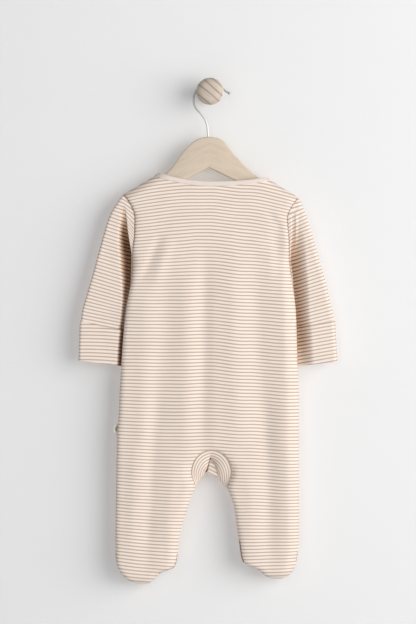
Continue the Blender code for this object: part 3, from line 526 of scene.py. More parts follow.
# Distance of the cloth from the mid plane: the suit's thickness there, less the folds, times a roll-off
# beside the side seam, the shoulder ridge, the crotch seam or leg edge, and the toe.
def halfDepth(side, face, x, z):
    x, z = np.broadcast_arrays(np.asarray(x, float), np.asarray(z, float))
    shoulderZ = ridge[side]["shoulder"][1]
    upArmhole = ease(z, underarm, underarm + suit["armholeRise"] * (shoulderZ - underarm))
    square, squareLeg = (suit[name][side] if face == "back" else 2.0 for name in ("sidePower", "legPower"))
    fromSide = (x - follow(outerEdge[side], "x", z)) * inward(side)
    share = roll(fromSide, suit["sideRadius"], suit["armholeKeep"] * upArmhole, square)
    share = share * roll(ridgeZ(side, x) - z, suit["ridgeRadius"])
    pastTop = np.hypot((x - centreX) / suit["archRx"], (z - archZ) / suit["archRz"]) - 1
    fromArch = np.where(z >= archZ, pastTop * suit["archRx"], np.abs(x - centreX) - archWidth(z))
    lowKeep, topKeep = suit["archKeep"]
    archKeep = lowKeep + (topKeep - lowKeep) * ease(z, archEnd, archTop)
    byGusset = roll(fromArch, suit["legRadius"], archKeep, squareLeg)
    legKeep = lowKeep * ease(z, archEnd - suit["keepFade"], archEnd)
    byLeg = roll((legEdge(side, z) - x) * inward(side), suit["legRadius"], legKeep, squareLeg)
    share = share * np.where(z >= archEnd, byGusset, byLeg)
    share = share * roll(z - toeZ(side), suit["toeRadius"])
    full = follow(thickness, "depth", z) - foldDepth(face, x, z)
    atSeam = upArmhole * bell(fromSide, suit["dipWidth"][0])
    atArch = ease(z, archEnd, archZ) * bell(fromArch, suit["dipWidth"][1])
    full = full - suit["seamDip"] * (atSeam + atArch)
    edge = suit["seamGap"] / 2
    return edge + (full - edge) * share


def neckEnd(side, raised=0.0):  # where the neck edge meets the ridge, or with `raised` 1 the ridge's tip
    (x0, z0), (x1, z1) = ridge[side]["shoulder"], ridge[side]["tip"]
    along = ridge[side]["panelEnd"] * (1 - raised) + raised
    return x0 + (x1 - x0) * along, z0 + (z1 - z0) * along


def neckZ(side, face, x, raised=0.0):  # height of the neck edge: a power curve from the ridge down
    endX, endZ = neckEnd(side, raised)
    low = neck["low"][face] + neck["bandHeight"] * raised
    across = np.clip((x - centreX) / (endX - centreX), 0, 1)
    return endZ + (low - endZ) * (1 - across ** neck["power"][face])


def onFace(face, x, depth, z):  # points in front of the mid plane or behind it
    return np.stack([x, midY + (-depth if face == "back" else depth), z], axis=-1)


# Stitches on the back along a line x, between two heights of a side.
def backStitches(name, side, x, z, out, look):
    path = onFace("back", x, halfDepth(side, "back", x, z) + 0.0001, z)
    stitchRow(f"{name}Thread{side.title()}", path, out, **look)


# how the stripes lie on the panels

# A stripe's fall below level is a sum of a few falls. Each has a size and the distances, down or across,
# between which it comes in or dies away.
course = dict(
    neck=0.00215, middle=((-0.0029, 0.120, 0.187), (-0.0009, 0.240, 0.420), (-0.0034, 0.450, 0.610)),
    reach=0.120, steep=(-0.210, -0.120),  # place of the sides; the dips are steeper towards the shoulder
    left=dict(
        dip=0.0158, fade=(-0.290, -0.110), start=0.020, power=(0.95, 1.1),
        lift=0.0090, leg=(0.330, 0.720), legPower=2.1,
    ),
    right=dict(
        dip=0.0130, fade=(-0.270, -0.130), start=0.030, power=(1.1, 1.6),
        lift=0.0048, leg=(0.560, 0.660), legPower=1.2,
    ),
    steps=((0.0042, (-0.002, 0.046), (0.340, 0.620)), (0.0033, (0.050, 0.106), (0.500, 0.610))),
    slack=0.0008, slackAcross=((0.010, 0.040), (0.060, 0.130)), slackDown=((0.210, 0.290), (0.450, 0.560)),
    waver=0.00012, waves=(130, -61, 1),
)


# Place on the cloth: across is x, and the height is z plus the stripe's fall there. The falls are the
# middle's own, a dip to each armhole and a lift at the outer side of each leg, both a power of the distance
# out, two steps by which the right half hangs lower, a little slack on the left, and a waver.
def clothPlace(x, z):
    down = -z
    steep = ease(z, *course["steep"])
    fall = course["neck"] + sum(size * ease(down, start, end) for size, start, end in course["middle"])
    for side in sides:
        look = course[side]
        out = np.clip(-inward(side) * x, 0, None)
        across = np.clip((out - look["start"]) / (course["reach"] - look["start"]), 0, None)
        power, more = look["power"]
        fall = fall + look["dip"] * ease(z, *look["fade"]) * across ** (power + more * steep)
        fall = fall - look["lift"] * ease(down, *look["leg"]) * (out / course["reach"]) ** look["legPower"]
    for size, over, gone in course["steps"]:
        fall = fall + size * ease(x, *over) * (1 - ease(down, *gone))
    (into, out), (top, low) = course["slackAcross"], course["slackDown"]
    slack = ease(-x, *into) * (1 - ease(-x, *out)) * ease(down, *top) * (1 - ease(down, *low))
    alongX, alongZ, shift = course["waves"]
    waver = course["waver"] * np.sin(alongX * x + alongZ * z + shift)
    return np.stack([x, z + fall + course["slack"] * slack + waver], axis=-1)


# back and fronts

panel = dict(
    columns=52, ridgeColumns=22,
    upperRows=60, torsoRows=92, archRows=26, endRows=9, legRows=34, footRows=40,
    rowPower=1.5, neckPower=1.25,  # over 1: rows lie closer at the shoulder, columns at the ridge
    seamShade=(0.6, 0.0009),  # painted shade in the crease at the armhole, and its width
)
armholeThread = dict(spacing=0.0034, length=0.0015, radius=0.00042, lean=0.25)


# A patch blended from its four edges: the mean between top and low plus the mean between first and last,
# less the straight blend of the corners.
def edgePatch(u, v, top, low, first, last):
    corners = (1 - u) * ((1 - v) * top[0] + v * low[0]) + u * ((1 - v) * top[-1] + v * low[-1])
    return (1 - v) * top + v * low + (1 - u) * first + u * last - corners


# Shoulder to underarm: the ridge and neck above, armhole, centre and underarm row.
def shoulderPatch(side, face, centre):
    v = (np.arange(panel["upperRows"])[:, None] / (panel["upperRows"] - 1)) ** panel["rowPower"]
    u = spread(panel["columns"])
    (x0, z0), (x1, z1) = ridge[side]["shoulder"], neckEnd(side)
    count = panel["ridgeColumns"]
    rest = panel["columns"] - count
    along = np.arange(count + 1) / count
    neckX = x1 + (centre - x1) * (np.arange(1, rest + 1) / rest) ** panel["neckPower"]
    topX = np.concatenate([x0 + (x1 - x0) * along, neckX])
    topZ = np.concatenate([z0 + (z1 - z0) * along, neckZ(side, face, neckX)])
    armZ = z0 + (underarm - z0) * v
    armX = follow(outerEdge[side], "x", armZ)
    lowX = armX[-1, 0] + (centre - armX[-1, 0]) * u
    centreZ = topZ[-1] + (underarm - topZ[-1]) * v
    return (edgePatch(u, v, topX, lowX, armX, centre),
            edgePatch(u, v, topZ, np.full_like(topZ, underarm), armZ, centreZ))


# Underarm to toe or ankle: level rows from the outer edge to the centre, the crotch seam or the leg's inner
# edge.
def lowerPatch(side, centre, top, bottom):
    turn = np.linspace(math.pi / 2, 0, panel["archRows"])
    footTurn = np.linspace(0, math.pi / 2, panel["footRows"])
    heights = np.concatenate([
        np.linspace(underarm, archTop, panel["torsoRows"]),
        archZ + suit["archRz"] * np.sin(turn)[1:],
        np.linspace(archZ, archEnd, panel["endRows"])[1:],
        np.linspace(archEnd, suit["ankle"], panel["legRows"])[1:],
        suit["ankle"] + (toeZ(side) - suit["ankle"]) * np.sin(footTurn)[1:],
    ])
    heights = heights[(heights <= top + 1e-9) & (heights >= bottom - 1e-9)]
    outer = follow(outerEdge[side], "x", heights)
    arch = centreX - inward(side) * (archWidth(heights) + suit["seamGap"])
    inner = np.where(heights >= archEnd, arch, legEdge(side, heights))
    inner = np.where(heights >= archTop - 1e-9, centre, inner)
    x = outer[:, None] + (inner - outer)[:, None] * spread(panel["columns"])
    return x, heights[:, None] + np.zeros_like(x)


# One half of a panel: both patches, set out from the mid plane by the half depth, with a bell of
# painted shade beside the armhole.
def panelGrid(side, face, centre, bottom):
    upper = shoulderPatch(side, face, centre)
    lower = lowerPatch(side, centre, underarm - 0.0005, bottom)
    x, z = (np.concatenate(pair) for pair in zip(upper, lower))
    armhole = ease(z, underarm - 0.004, underarm + 0.01)
    shade, width = panel["seamShade"]
    atArmhole = shade * armhole * bell(x - follow(outerEdge[side], "x", z), width)
    return onFace(face, x, halfDepth(side, face, x, z), z), clothPlace(x, z), atArmhole


backFacing, frontFacing = (0, 0.4, -0.4), (0, -0.4, -0.4)  # points that back and fronts face away from
backGrids = [panelGrid(side, "back", centreX, -1) for side in sides]
backPanel = sheetMesh("backPanel", backGrids, backFacing, stripedJersey)
dress(backPanel, "jersey", "back")

for side in sides:
    grid = panelGrid(side, "front", centreX - inward(side) * suit["seamGap"] / 2, suit["ankle"])
    made = sheetMesh(f"front{side.title()}", [grid], frontFacing, stripedJersey)
    dress(made, "jersey", f"front_{side}")

for side in sides:
    z = np.linspace(ridge[side]["shoulder"][1] - 0.002, underarm + 0.001, 160)
    x = follow(outerEdge[side], "x", z) + inward(side) * 0.0001
    backStitches("armhole", side, x, z, (0, -1, 0), armholeThread)
print("body panels made")

# feet

footUpper = dict(swell=0.0022, lap=0.0005, sink=0.6)  # its first row goes under the front's edge by the lap
heel = dict(  # the seam at the leg's inner edge: its highest and lowest point, and its stitches
    inset=0.0010,
    left=dict(ends=(-0.6130, -0.6400), look=dict(spacing=0.0027, length=0.0018, radius=0.00065)),
    # on the right the dark threads are thick and run together: painted shade of the fold beside the heel
    right=dict(ends=(-0.5955, -0.6240), look=dict(spacing=0.0027, length=0.0028, radius=0.00105)),
)
ankle = dict(
    inset=0.0006, ends=(-0.6110, -0.6215), look=dict(spacing=0.0030, length=0.0018, radius=0.00050),
)
for side in sides:
    x, z = lowerPatch(side, centreX, suit["ankle"], -1)
    depth = halfDepth(side, "front", x, z)
    puff = np.sin(math.pi * np.clip((suit["ankle"] - z) / (suit["ankle"] - toeZ(side)), 0, 1))
    depth = depth + footUpper["swell"] * puff * ease(depth, 0.001, 0.008)
    z[0] += footUpper["lap"]
    depth[0] -= footUpper["sink"] * footUpper["lap"] * ease(depth[0], 0.001, 0.004)
    grid = onFace("front", x, depth, z), clothPlace(x, z)
    made = sheetMesh(f"footUpper{side.title()}", [grid], frontFacing, stripedJersey)
    dress(made, "jersey", f"foot_upper_{side}")

for side in sides:
    z = np.linspace(*heel[side]["ends"], 120)
    x = legEdge(side, z) - inward(side) * heel["inset"]
    backStitches("foot", side, x, z, (inward(side), -1, 0), heel[side]["look"])
    z = np.linspace(*ankle["ends"], 40)
    x = follow(outerEdge[side], "x", z) + inward(side) * ankle["inset"]
    backStitches("ankle", side, x, z, (-inward(side), -1, 0), ankle["look"])

# gusset

gusset = dict(
    rows=61, sideRows=10, topRows=32, point=1.4,
    start=0.0034, close=1.16,  # place of the first stripe, and how close they lie on the bend
    edge=table(
        "along x z",
        (-1, -19.6, -524.5), (-0.72, -14.3, -517), (-0.45, -8.6, -509.5), (-0.22, -3.4, -503.5),
        (-0.08, -1.4, -495.5), (0, 0, -488.5), (0.14, 6.2, -494.5), (0.36, 9.6, -506), (0.58, 12.8, -515),
        (0.8, 17.8, -522.2), (1, 23.2, -526.2),
    ),
    slitShade=dict(ends=((-0.40, -0.24), (-0.05, 0.0)), width=0.0031),  # where the painted shade along the fold's edge, a dark slit, opens and closes
    edgeShade=0.14, seamShade=(0.4, 0.0007),  # painted shade on the bend's edge; by the seam, with its width
)


# The strip turns from the seam on the back, round a lower edge, to the seam on the front. At each place
# along the seam its section is half an ellipse drawn to a point: the sine and cosine of the turn, each
# raised to `point`. The stripes run with the seam, at the distance round the bend.
def gussetGrid():
    quarter = np.linspace(0, math.pi / 2, gusset["topRows"])
    rising = np.concatenate([np.linspace(archEnd, archZ, gusset["sideRows"])[:-1],
                             archZ + suit["archRz"] * np.sin(quarter)])
    seamZ = np.concatenate([rising, rising[-2::-1]])
    sign = np.where(np.arange(len(seamZ)) < len(rising), -1, 1)
    seamX = centreX + sign * archWidth(seamZ)
    reach = travel(np.stack([seamX, seamZ], -1))
    along = 2 * reach / reach[-1] - 1
    edgeX, edgeZ = (follow(gusset["edge"], name, along, "along") for name in "xz")
    depth = {
        face: np.where(seamX < centreX, *(halfDepth(side, face, seamX, seamZ) for side in sides))
        for face in ("back", "front")
    }
    turn = np.linspace(0, math.pi, gusset["rows"])[:, None]
    out = np.abs(np.sin(turn)) ** gusset["point"]
    x = seamX + (edgeX - seamX) * out
    z = seamZ + (edgeZ - seamZ) * out
    past = np.sign(np.cos(turn)) * np.abs(np.cos(turn)) ** gusset["point"]
    y = midY - np.where(turn < math.pi / 2, depth["back"], depth["front"]) * past
    points = np.stack([x, y, z], -1)
    down = travel(points)
    # painted shade: a dark slit along the bend's edge, and darker colour on the bend's edge and beside the
    # seam
    opens, closes = gusset["slitShade"]["ends"]
    slitShade = ease(along, *opens) * ease(-along, *closes)
    slitShade = slitShade * bell(np.hypot(x - edgeX, z - edgeZ), gusset["slitShade"]["width"], 6)
    shade, width = gusset["seamShade"]
    shade = gusset["edgeShade"] * out**3 + shade * bell(down, width) + slitShade
    return points, np.stack([along * 0.06 + 0 * x, gusset["start"] - down * gusset["close"]], -1), shade


gussetStrip = sheetMesh("gussetStrip", [gussetGrid()], (0, midY, -0.44), stripedJersey)
dress(gussetStrip, "jersey", "gusset")
print("feet and gusset made")

# sleeves

# One row for each line across the sleeve: the outer fold, the lip of the deep crease beside the body, and
# the height on the armhole seam (below the underarm that end is the inner fold, hidden behind the body).
sleeve = {
    "left": dict(
        underarmAt=0.65, lines=table(
            "t outerX outerZ lipX lipZ seamZ depth flat rise",
            (0, -115, -137, -115, -137, -137, 7, 1, 3),
            (0.04, -120.1, -143.2, -114.5, -144.9, -150.5, 7.2, 1.2, 4.2),
            (0.08, -123.5, -148.5, -113.6, -151.8, -161.7, 7.5, 1.4, 5.4),
            (0.13, -127.7, -155.2, -112.4, -159.7, -172.3, 7.8, 1.8, 6.2),
            (0.18, -131.7, -162, -111.2, -169, -182.9, 8, 2.4, 7),
            (0.28, -137.2, -176.3, -109.6, -184.9, -195.5, 8.2, 3.8, 8.4),
            (0.38, -141.6, -191.6, -106.8, -201.5, -209.4, 8.2, 5.8, 10),
            (0.47, -145.5, -205.5, -104.3, -215.4, -220.1, 8.2, 7.4, 10.4),
            (0.56, -149.5, -220.1, -103.1, -231.3, -233.3, 8, 7.4, 10.2),
            (0.65, -153.3, -234.5, -103.8, -246.5, -248, 7.8, 5.8, 9.4),
            (0.76, -158.3, -251.9, -107.1, -264.5, -265, 7.4, 3.2, 7.4),
            (0.88, -164.5, -273.1, -110.6, -285.5, -286, 7, 1.4, 6),
            (1, -170.1, -294.3, -113.4, -305.5, -306, 6.4, 0.8, 5.6),
            (1.12, -171.5, -310, -114.9, -320, -320.5, 6, 1.2, 6.6),
            (1.32, -172.1, -333, -116.6, -343, -343.5, 5.6, 1, 6.2),
        ),
        lean=table("t lean", (0, 0), (0.3, 0.02), (0.55, 0.06), (0.8, 0.05), (1.0, 0.01), (1.3, 0)),
        square=4.0, pleat=0.0, open=(0.08, 0.40), floor=0.0062,  # outer fold's power; crease's top, floor
        shade=0.955, spread=0.42, paleAt=0.95,  # painted shade in the crease, its reach, and where it is lighter
        cuffTop=((-0.1727, -0.3046), (-0.1134, -0.3162)), cuffLow=((-0.1743, -0.3572), (-0.1172, -0.3647)),
        topSag=0.0019, cuffClose=0.0, cuffStripe=(-0.0005, 0.0029, 2.5),  # stripes' start, rise, power
    ),
    "right": dict(
        underarmAt=0.63, lines=table(
            "t outerX outerZ lipX lipZ seamZ depth flat rise",
            (0, 116.9, -140.9, 116.9, -140.9, -140.9, 7, 1, 8),
            (0.04, 120.2, -146.5, 116, -147.7, -148.7, 7.2, 1, 8),
            (0.08, 122.8, -152.4, 112.7, -155.6, -157.1, 7.4, 1, 9),
            (0.13, 125.6, -158.4, 109, -165.5, -168.4, 7.6, 1, 11),
            (0.2, 129.5, -169.7, 109, -178.3, -181.9, 8, 1, 13),
            (0.3, 134.5, -185.6, 108.7, -194.5, -197.5, 8.2, 1, 17),
            (0.4, 139.2, -201.5, 107.8, -211.2, -213.2, 8.2, 1, 20),
            (0.5, 143.5, -216.7, 107.5, -226.8, -228, 8.2, 1, 21),
            (0.6, 147.9, -232.6, 108.6, -243.3, -243.9, 8, 1, 21),
            (0.63, 149.2, -237.2, 109.2, -247.5, -248, 8, 1, 21),
            (0.75, 154.4, -255.8, 111.3, -265.8, -266.3, 7.8, 1, 20),
            (0.88, 159.5, -278.4, 113.4, -287, -287.5, 7.4, 1, 18),
            (1, 163.8, -298.3, 114.6, -305.6, -306.1, 6.8, 1, 18),
            (1.1, 164.8, -311.5, 114.9, -318, -318.5, 6.2, 3, 18),
            (1.3, 165.8, -335, 115.8, -341, -341.5, 5.6, 3, 18),
        ),
        lean=table("t lean", (0, 0), (0.3, 0.035), (0.6, 0.07), (0.8, 0.08), (1.0, 0.10), (1.3, 0.11)),
        square=2.0, pleat=0.0014, open=(0.12, 0.60), floor=0.0050,
        shade=0.78, spread=0.56, paleAt=-1.0,
        cuffTop=((0.1660, -0.3028), (0.1147, -0.3138)), cuffLow=((0.1694, -0.3588), (0.1169, -0.3645)),
        topSag=0.0010, cuffClose=0.55, cuffStripe=(-0.0045, 0.0092, 1.0),
    ),
}
tube = dict(
    rows=170, main=46, lip=16, lipPower=1.6, lipRun=0.0016, lipShade=0.0022, foldRadius=0.0060,
    layers=0.0039, tuck=0.0040, behind=0.0026,  # room between layers; how far and deep the fold is hidden
    swell=0.22, free=0.10, tuckOver=0.20,  # shares of the length: it fills out, comes free, tucks in
    # the pleat also lightens the painted crease shade, by the last of these
    pleatFrom=(0.08, 0.18), pleatTo=(0.26, 0.46), pleatAt=0.0056, pleatWidth=0.0021, pleatPale=90,
    pale=(0.5, 0.14),  # how much lighter the painted crease shade is at `paleAt`, and over what share of the length
)


# A section runs from the outer fold to the lip of the crease, then to the armhole seam or the hidden fold.
# Its half thickness rolls up from the outer fold. The crease pushes both layers back towards the wall over
# `flat` + `rise`, and paints shade on the back layer, deepest at its bottom.
def sleeveSections(shape, outer, lip, seam, seamY, rows, grow=0.0):
    rows = {name: values[:, None] for name, values in rows.items()}
    a = spread(tube["main"])
    b = (np.arange(1, tube["lip"] + 1) / tube["lip"]) ** tube["lipPower"]
    span = np.linalg.norm(lip - outer, axis=-1)[:, None]
    width = np.linalg.norm(seam - lip, axis=-1)[:, None]
    main = outer[:, None] + (lip - outer)[:, None] * a[:, None]
    rest = lip[:, None] + (seam - lip)[:, None] * b[:, None]
    place = np.concatenate([main, rest], axis=1)
    rolled = roll(a * span, tube["foldRadius"], 0.0, shape["square"])
    off = (1 - a) * span
    crease = (1 - ease(off, rows["flat"], rows["flat"] + rows["rise"])) * rows["open"]
    pleat = rows["pleat"] * bell(off - tube["pleatAt"], tube["pleatWidth"])
    # painted shade: the crease's colour, lighter on the pleat; past the lip it fades out
    paintedShadeMain = np.clip(crease ** shape["spread"] - pleat * tube["pleatPale"], 0, 1)
    paintedShadeRest = crease[:, -1:] * (1 - ease(b * width, 0, tube["lipShade"])) * (1 - b**5)
    deep = np.concatenate([paintedShadeMain, paintedShadeRest], axis=1) * rows["shade"]
    atLip = ease(b * width, 0, np.minimum(tube["lipRun"], np.maximum(width, 1e-6)))
    grids = []
    for face, sign, run in (("back", -1, atLip), ("front", 1, ease(b))):
        isBack = sign < 0
        floor = shape["floor"] + tube["layers"] * (not isBack) + sign * grow
        y = sign * (rows[face] + grow) * rolled * (1 - crease) + floor * crease - pleat * isBack
        yRest = y[:, -1:] + (seamY[face][:, None] - y[:, -1:]) * run
        y = midY + np.concatenate([y, yRest], axis=1)
        grids.append((np.stack([place[..., 0], y, place[..., 1]], -1), deep * isBack))
    return grids


# The rows come from the table. At the armhole the layers start on the panels' own depth and swell to the
# sleeve's; below the underarm the seam's end is tucked in behind the body. On the cloth, across is the
# distance from the outer fold and up the distance down that fold, with a lean.
def sleeveParts(side):
    shape = sleeve[side]
    outward, start = -inward(side), shape["underarmAt"]
    t = np.linspace(0, 1.3, tube["rows"])
    lines = {name: follow(shape["lines"], name, t, "t") for name in shape["lines"]}
    outer, lip = (np.stack([lines[edge + "X"], lines[edge + "Z"]], -1) for edge in ("outer", "lip"))
    below = t > start
    tuck = tube["tuck"] * ease(t, start, start + tube["tuckOver"])
    seamX = follow(outerEdge[side], "x", lines["seamZ"]) + outward * np.where(below, -tuck, suit["seamGap"])
    seam = np.stack([seamX, lines["seamZ"]], -1)
    panelX = seamX - outward * suit["seamGap"]
    atSeam = {face: halfDepth(side, face, panelX, lines["seamZ"]) for face in ("back", "front")}
    hidden = ease(t, start, start + tube["free"]) * (atSeam["front"] + tube["behind"])
    seamY = dict(back=np.where(below, hidden, -atSeam["back"]),
                 front=np.where(below, hidden, atSeam["front"]))
    swell = ease(t, 0, tube["swell"])
    filled = lines["depth"] * np.where(below, 1, swell)
    rows = {face: depth * (1 - swell) * ~below + filled for face, depth in atSeam.items()}
    paler, paleReach = tube["pale"]
    rows["shade"] = shape["shade"] * (1 - paler * bell(t - shape["paleAt"], paleReach))
    rows["pleat"] = shape["pleat"] * ease(t, *tube["pleatFrom"]) * (1 - ease(t, *tube["pleatTo"]))
    rows.update(flat=lines["flat"], rise=lines["rise"], open=ease(t, *shape["open"]))
    (back, shade), (front, plain) = sleeveSections(shape, outer, lip, seam, seamY, rows)
    across = travel(back, 1)
    span = np.linalg.norm(lip - outer, axis=-1)[:, None]
    up = -travel(outer)[:, None] + follow(shape["lean"], "lean", t, "t")[:, None] * np.minimum(across, span)
    return [(back, np.stack([across, up], -1), shade), (front, np.stack([-across, up], -1), plain)]


for side in sides:
    inside = (0.14 * -inward(side), midY, -0.25)
    made = sheetMesh(f"sleeve{side.title()}", sleeveParts(side), inside, stripedJersey)
    dress(made, "jersey", f"sleeve_{side}")

cuff = dict(
    rows=64, grow=0.0016, topGrow=0.0003, spring=0.05, pinch=0.0012,  # how much wider it is than the sleeve
    hem=(0.0004, 0.03), lines=(1.05, 1.30), drop=0.0004,  # swell at the hem; its part of the sleeve's table
    closeFrom=0.35, sagPower=1.3,  # where the painted crease shade starts to fade; over 1 the top sags nearer the body
)
cuffThread = dict(spacing=0.0036, length=0.0017, radius=0.00026, lean=0.1)
cuffSeam = dict(ends=(0.02, 0.98), inset=0.0009, depth=0.0041)


# The cuff is a wider band round the sleeve's end, with its own rows between a top and a lower line. Its top
# edge springs out from the sleeve over the first twentieth of its height.
def cuffParts(side):
    shape = sleeve[side]
    v = np.linspace(0, 1, cuff["rows"])
    (o0, l0), (o1, l1) = np.array(shape["cuffTop"]), np.array(shape["cuffLow"])
    outer, lip = o0 + (o1 - o0) * v[:, None], l0 + (l1 - l0) * v[:, None]
    spring = ease(v, 0, cuff["spring"])
    outer[:, 0] += inward(side) * cuff["pinch"] * (1 - spring)
    grow = (cuff["topGrow"] + (cuff["grow"] - cuff["topGrow"]) * spring)[:, None]
    seamX = follow(outerEdge[side], "x", lip[:, 1]) + inward(side) * tube["tuck"]
    seam = np.stack([seamX, lip[:, 1] - cuff["drop"]], -1)
    hidden = halfDepth(side, "front", seamX, seam[:, 1]) + tube["behind"]
    start, end = cuff["lines"]
    rows = {name: follow(shape["lines"], name, start + (end - start) * v, "t") for name in ("flat", "rise")}
    hem = cuff["hem"][0] * bell(1 - v, cuff["hem"][1])
    depth = follow(shape["lines"], "depth", start + (end - start) * v, "t") + hem
    rows.update(back=depth, front=depth, open=np.ones_like(v), pleat=np.zeros_like(v))
    rows["shade"] = shape["shade"] * (1 - shape["cuffClose"] * ease(v, cuff["closeFrom"], 1))
    grids = sleeveSections(shape, outer, lip, seam, dict(back=hidden, front=hidden), rows, grow)
    back = grids[0][0]
    across = np.clip(np.abs(back[..., 0] - outer[:, None, 0]) / np.abs(lip - outer)[:, None, 0], 0, 1)
    sag = shape["topSag"] * np.sin(math.pi * across ** cuff["sagPower"]) * (1 - v)[:, None] ** 2
    start, rise, power = shape["cuffStripe"]
    parts = []
    for points, deep in grids:
        points[..., 2] -= sag
        up = points[..., 2] + start + rise * across**power
        parts.append((points, np.stack([points[..., 0], up], -1), deep))
    return parts


for side in sides:
    inside = (0.14 * -inward(side), midY, -0.33)
    made = sheetMesh(f"cuff{side.title()}", cuffParts(side), inside, stripedJersey)
    dress(made, "jersey", f"cuff_{side}")
for side in sides:
    (x0, z0), (x1, z1) = sleeve[side]["cuffTop"][0], sleeve[side]["cuffLow"][0]
    s = np.linspace(*cuffSeam["ends"], 60)
    x = x0 + (x1 - x0) * s + inward(side) * cuffSeam["inset"]
    path = onFace("back", x, np.full_like(s, cuffSeam["depth"]), z0 + (z1 - z0) * s)
    stitchRow(f"cuffThread{side.title()}", path, (-inward(side) * 0.5, -1, 0), **cuffThread)
print("sleeves and cuffs made")

# neck binding

binding = dict(half=0.00125, corner=0.0011, lower=-0.22, upper=1.0, count=460, places=28, smooth=6)


def smoothed(path, times, closed):  # each point moved half way to the mean of its neighbours, so many times
    for _ in range(times):
        mean = 0.25 * np.roll(path, 1, 0) + 0.5 * path + 0.25 * np.roll(path, -1, 0)
        path = mean if closed else np.concatenate([path[:1], mean[1:-1], path[-1:]])
    return path


# A closed path round the neck at the band's lower or upper edge, resampled to even steps and smoothed.
def neckPath(raised):
    s = np.linspace(0, 1, 160) ** 2
    ring = []
    for face, order in (("back", sides), ("front", sides[::-1])):
        for side, way in zip(order, (1, -1)):
            x = neckEnd(side, raised)[0]
            x = x + (centreX - x) * s
            z = neckZ(side, face, x, raised)
            ring.append(onFace(face, x, halfDepth(side, face, x, z), z)[::way][:-1])
    ring = np.concatenate([*ring, ring[0][:1]])
    even = np.linspace(0, travel(ring)[-1], binding["count"], endpoint=False)
    return smoothed(placesOn(ring, even), binding["smooth"], True)


# The band is a rounded rectangle stood between two paths: across is the path's direction times the way up.
def bandRings(low, high):
    height = np.linalg.norm(high - low, axis=-1, keepdims=True)
    up = (high - low) / height
    middle = (low + high) / 2
    side = unit(np.cross(np.roll(low + high, -1, 0) - np.roll(low + high, 1, 0), up))
    across, rise = roundedBox(binding["places"], binding["half"], height / 2, binding["corner"])
    return middle[:, None] + side[:, None] * across[:, None] + up[:, None] * rise[..., None]


bandSections = bandRings(neckPath(binding["lower"]), neckPath(binding["upper"]))
neckBand = tubeMesh("neckBand", bandSections, plainRib, loop=True)
dress(neckBand, "binding", "neck_binding")
print("neck binding made")

# popper band, poppers and side label

placket = dict(
    half=0.0068, top=-0.1608, end=-0.5080, slant=0.005, lap=0.0015, hold=0.004, rows=(150, 22), columns=18,
    hem=(0.0012, 0.0004, 0.00022),  # the edge's row of sewing: how far in, its width and its depth
    tab=dict(length=0.0135, sink=0.86, shift=0.0030, narrow=0.10, lean=0.50),  # the end between the legs
)


def bandDepth(x, z):  # the band lies on the fronts: their depth plus the lap, held below the arch
    held = np.maximum(z, archTop + placket["hold"])
    left = halfDepth("left", "front", np.minimum(x, centreX - suit["seamGap"]), held)
    right = halfDepth("right", "front", np.maximum(x, centreX + suit["seamGap"]), held)
    return np.where(x < centreX, left, right) + placket["lap"]


# Level rows from edge to edge, dented by a bell where the edges are sewn. Below the arch the rows slant,
# and the end sinks in, shifts and narrows with the distance down.
def placketGrid():
    above, below = placket["rows"]
    z = np.concatenate([np.linspace(placket["top"], archTop, above),
                        np.linspace(archTop, placket["end"], below)[1:]])[:, None]
    x = centreX + placket["half"] * (2 * spread(placket["columns"]) - 1)[None, :]
    across, under = x - x[:, :1], ease(-z, -archTop, -placket["end"])
    x, z = np.broadcast_arrays(x, z - placket["slant"] * across / (2 * placket["half"]) * under)
    inset, width, depth = placket["hem"]
    tab = placket["tab"]
    inTab = np.clip((archTop - z) / tab["length"], 0, 1)
    edge = np.minimum(across, x[:, -1:] - x) - inset
    raised = (bandDepth(x, z) - depth * bell(edge, width)) * (1 - tab["sink"] * inTab)
    x = x + (tab["shift"] - tab["narrow"] * across) * inTab
    lean = tab["lean"] * ease(-z, -archTop, -placket["end"]) * (x - x[:, :1])
    return onFace("front", x, raised, z), np.stack([x, z + lean], -1)


placketBand = sheetMesh("placketBand", [placketGrid()], frontFacing, stripedJersey)
dress(placketBand, "jersey", "placket")

popper = dict(
    radius=0.0045, height=0.0016, top=-0.1760, step=0.0555, count=6,
    pale=(0.86, 0.79, 0.70), deep=(0.80, 0.72, 0.62),
    # a rolled rim, a shallow ring groove and a low dome, as (radius, height) in shares of the cap's size
    cap=[(0.0, 0.74), (0.20, 0.73), (0.40, 0.68), (0.55, 0.58), (0.62, 0.50), (0.68, 0.52), (0.74, 0.70),
         (0.80, 0.88), (0.87, 0.98), (0.93, 0.96), (0.98, 0.80), (1.0, 0.55), (1.0, 0.20), (0.97, 0.0),
         (0.0, 0.0)],
)


def enamelPaint():  # a fine speckle between two creams
    paint = Paint("popperEnamel", {"Metallic": 0.0, "Coat Weight": 0.5, "Coat Roughness": 0.15})
    speck = paint.noise(paint.objectPlace(), 900.0, 3.0)
    colour = paint.mix(speck, popper["deep"], popper["pale"])
    return paint.finish(colour, 0.34 + speck * 0.14, speck, 0.08, 0.0001)


enamel = enamelPaint()
capProfile = np.array(popper["cap"]) * (popper["radius"], popper["height"])
for number in range(popper["count"]):
    z = popper["top"] - popper["step"] * number
    ring = np.linspace(0, 2 * math.pi, 9)
    rim = bandDepth(centreX + popper["radius"] * np.cos(ring), z + popper["radius"] * np.sin(ring))
    foot = (centreX, midY + float(rim.max()) + suit["seamGap"], z)
    made = turned(f"popperCap{number + 1}", capProfile, foot, (0, 1, 0), enamel, 40)
    dress(made, "popper", f"popper_{number + 1}")

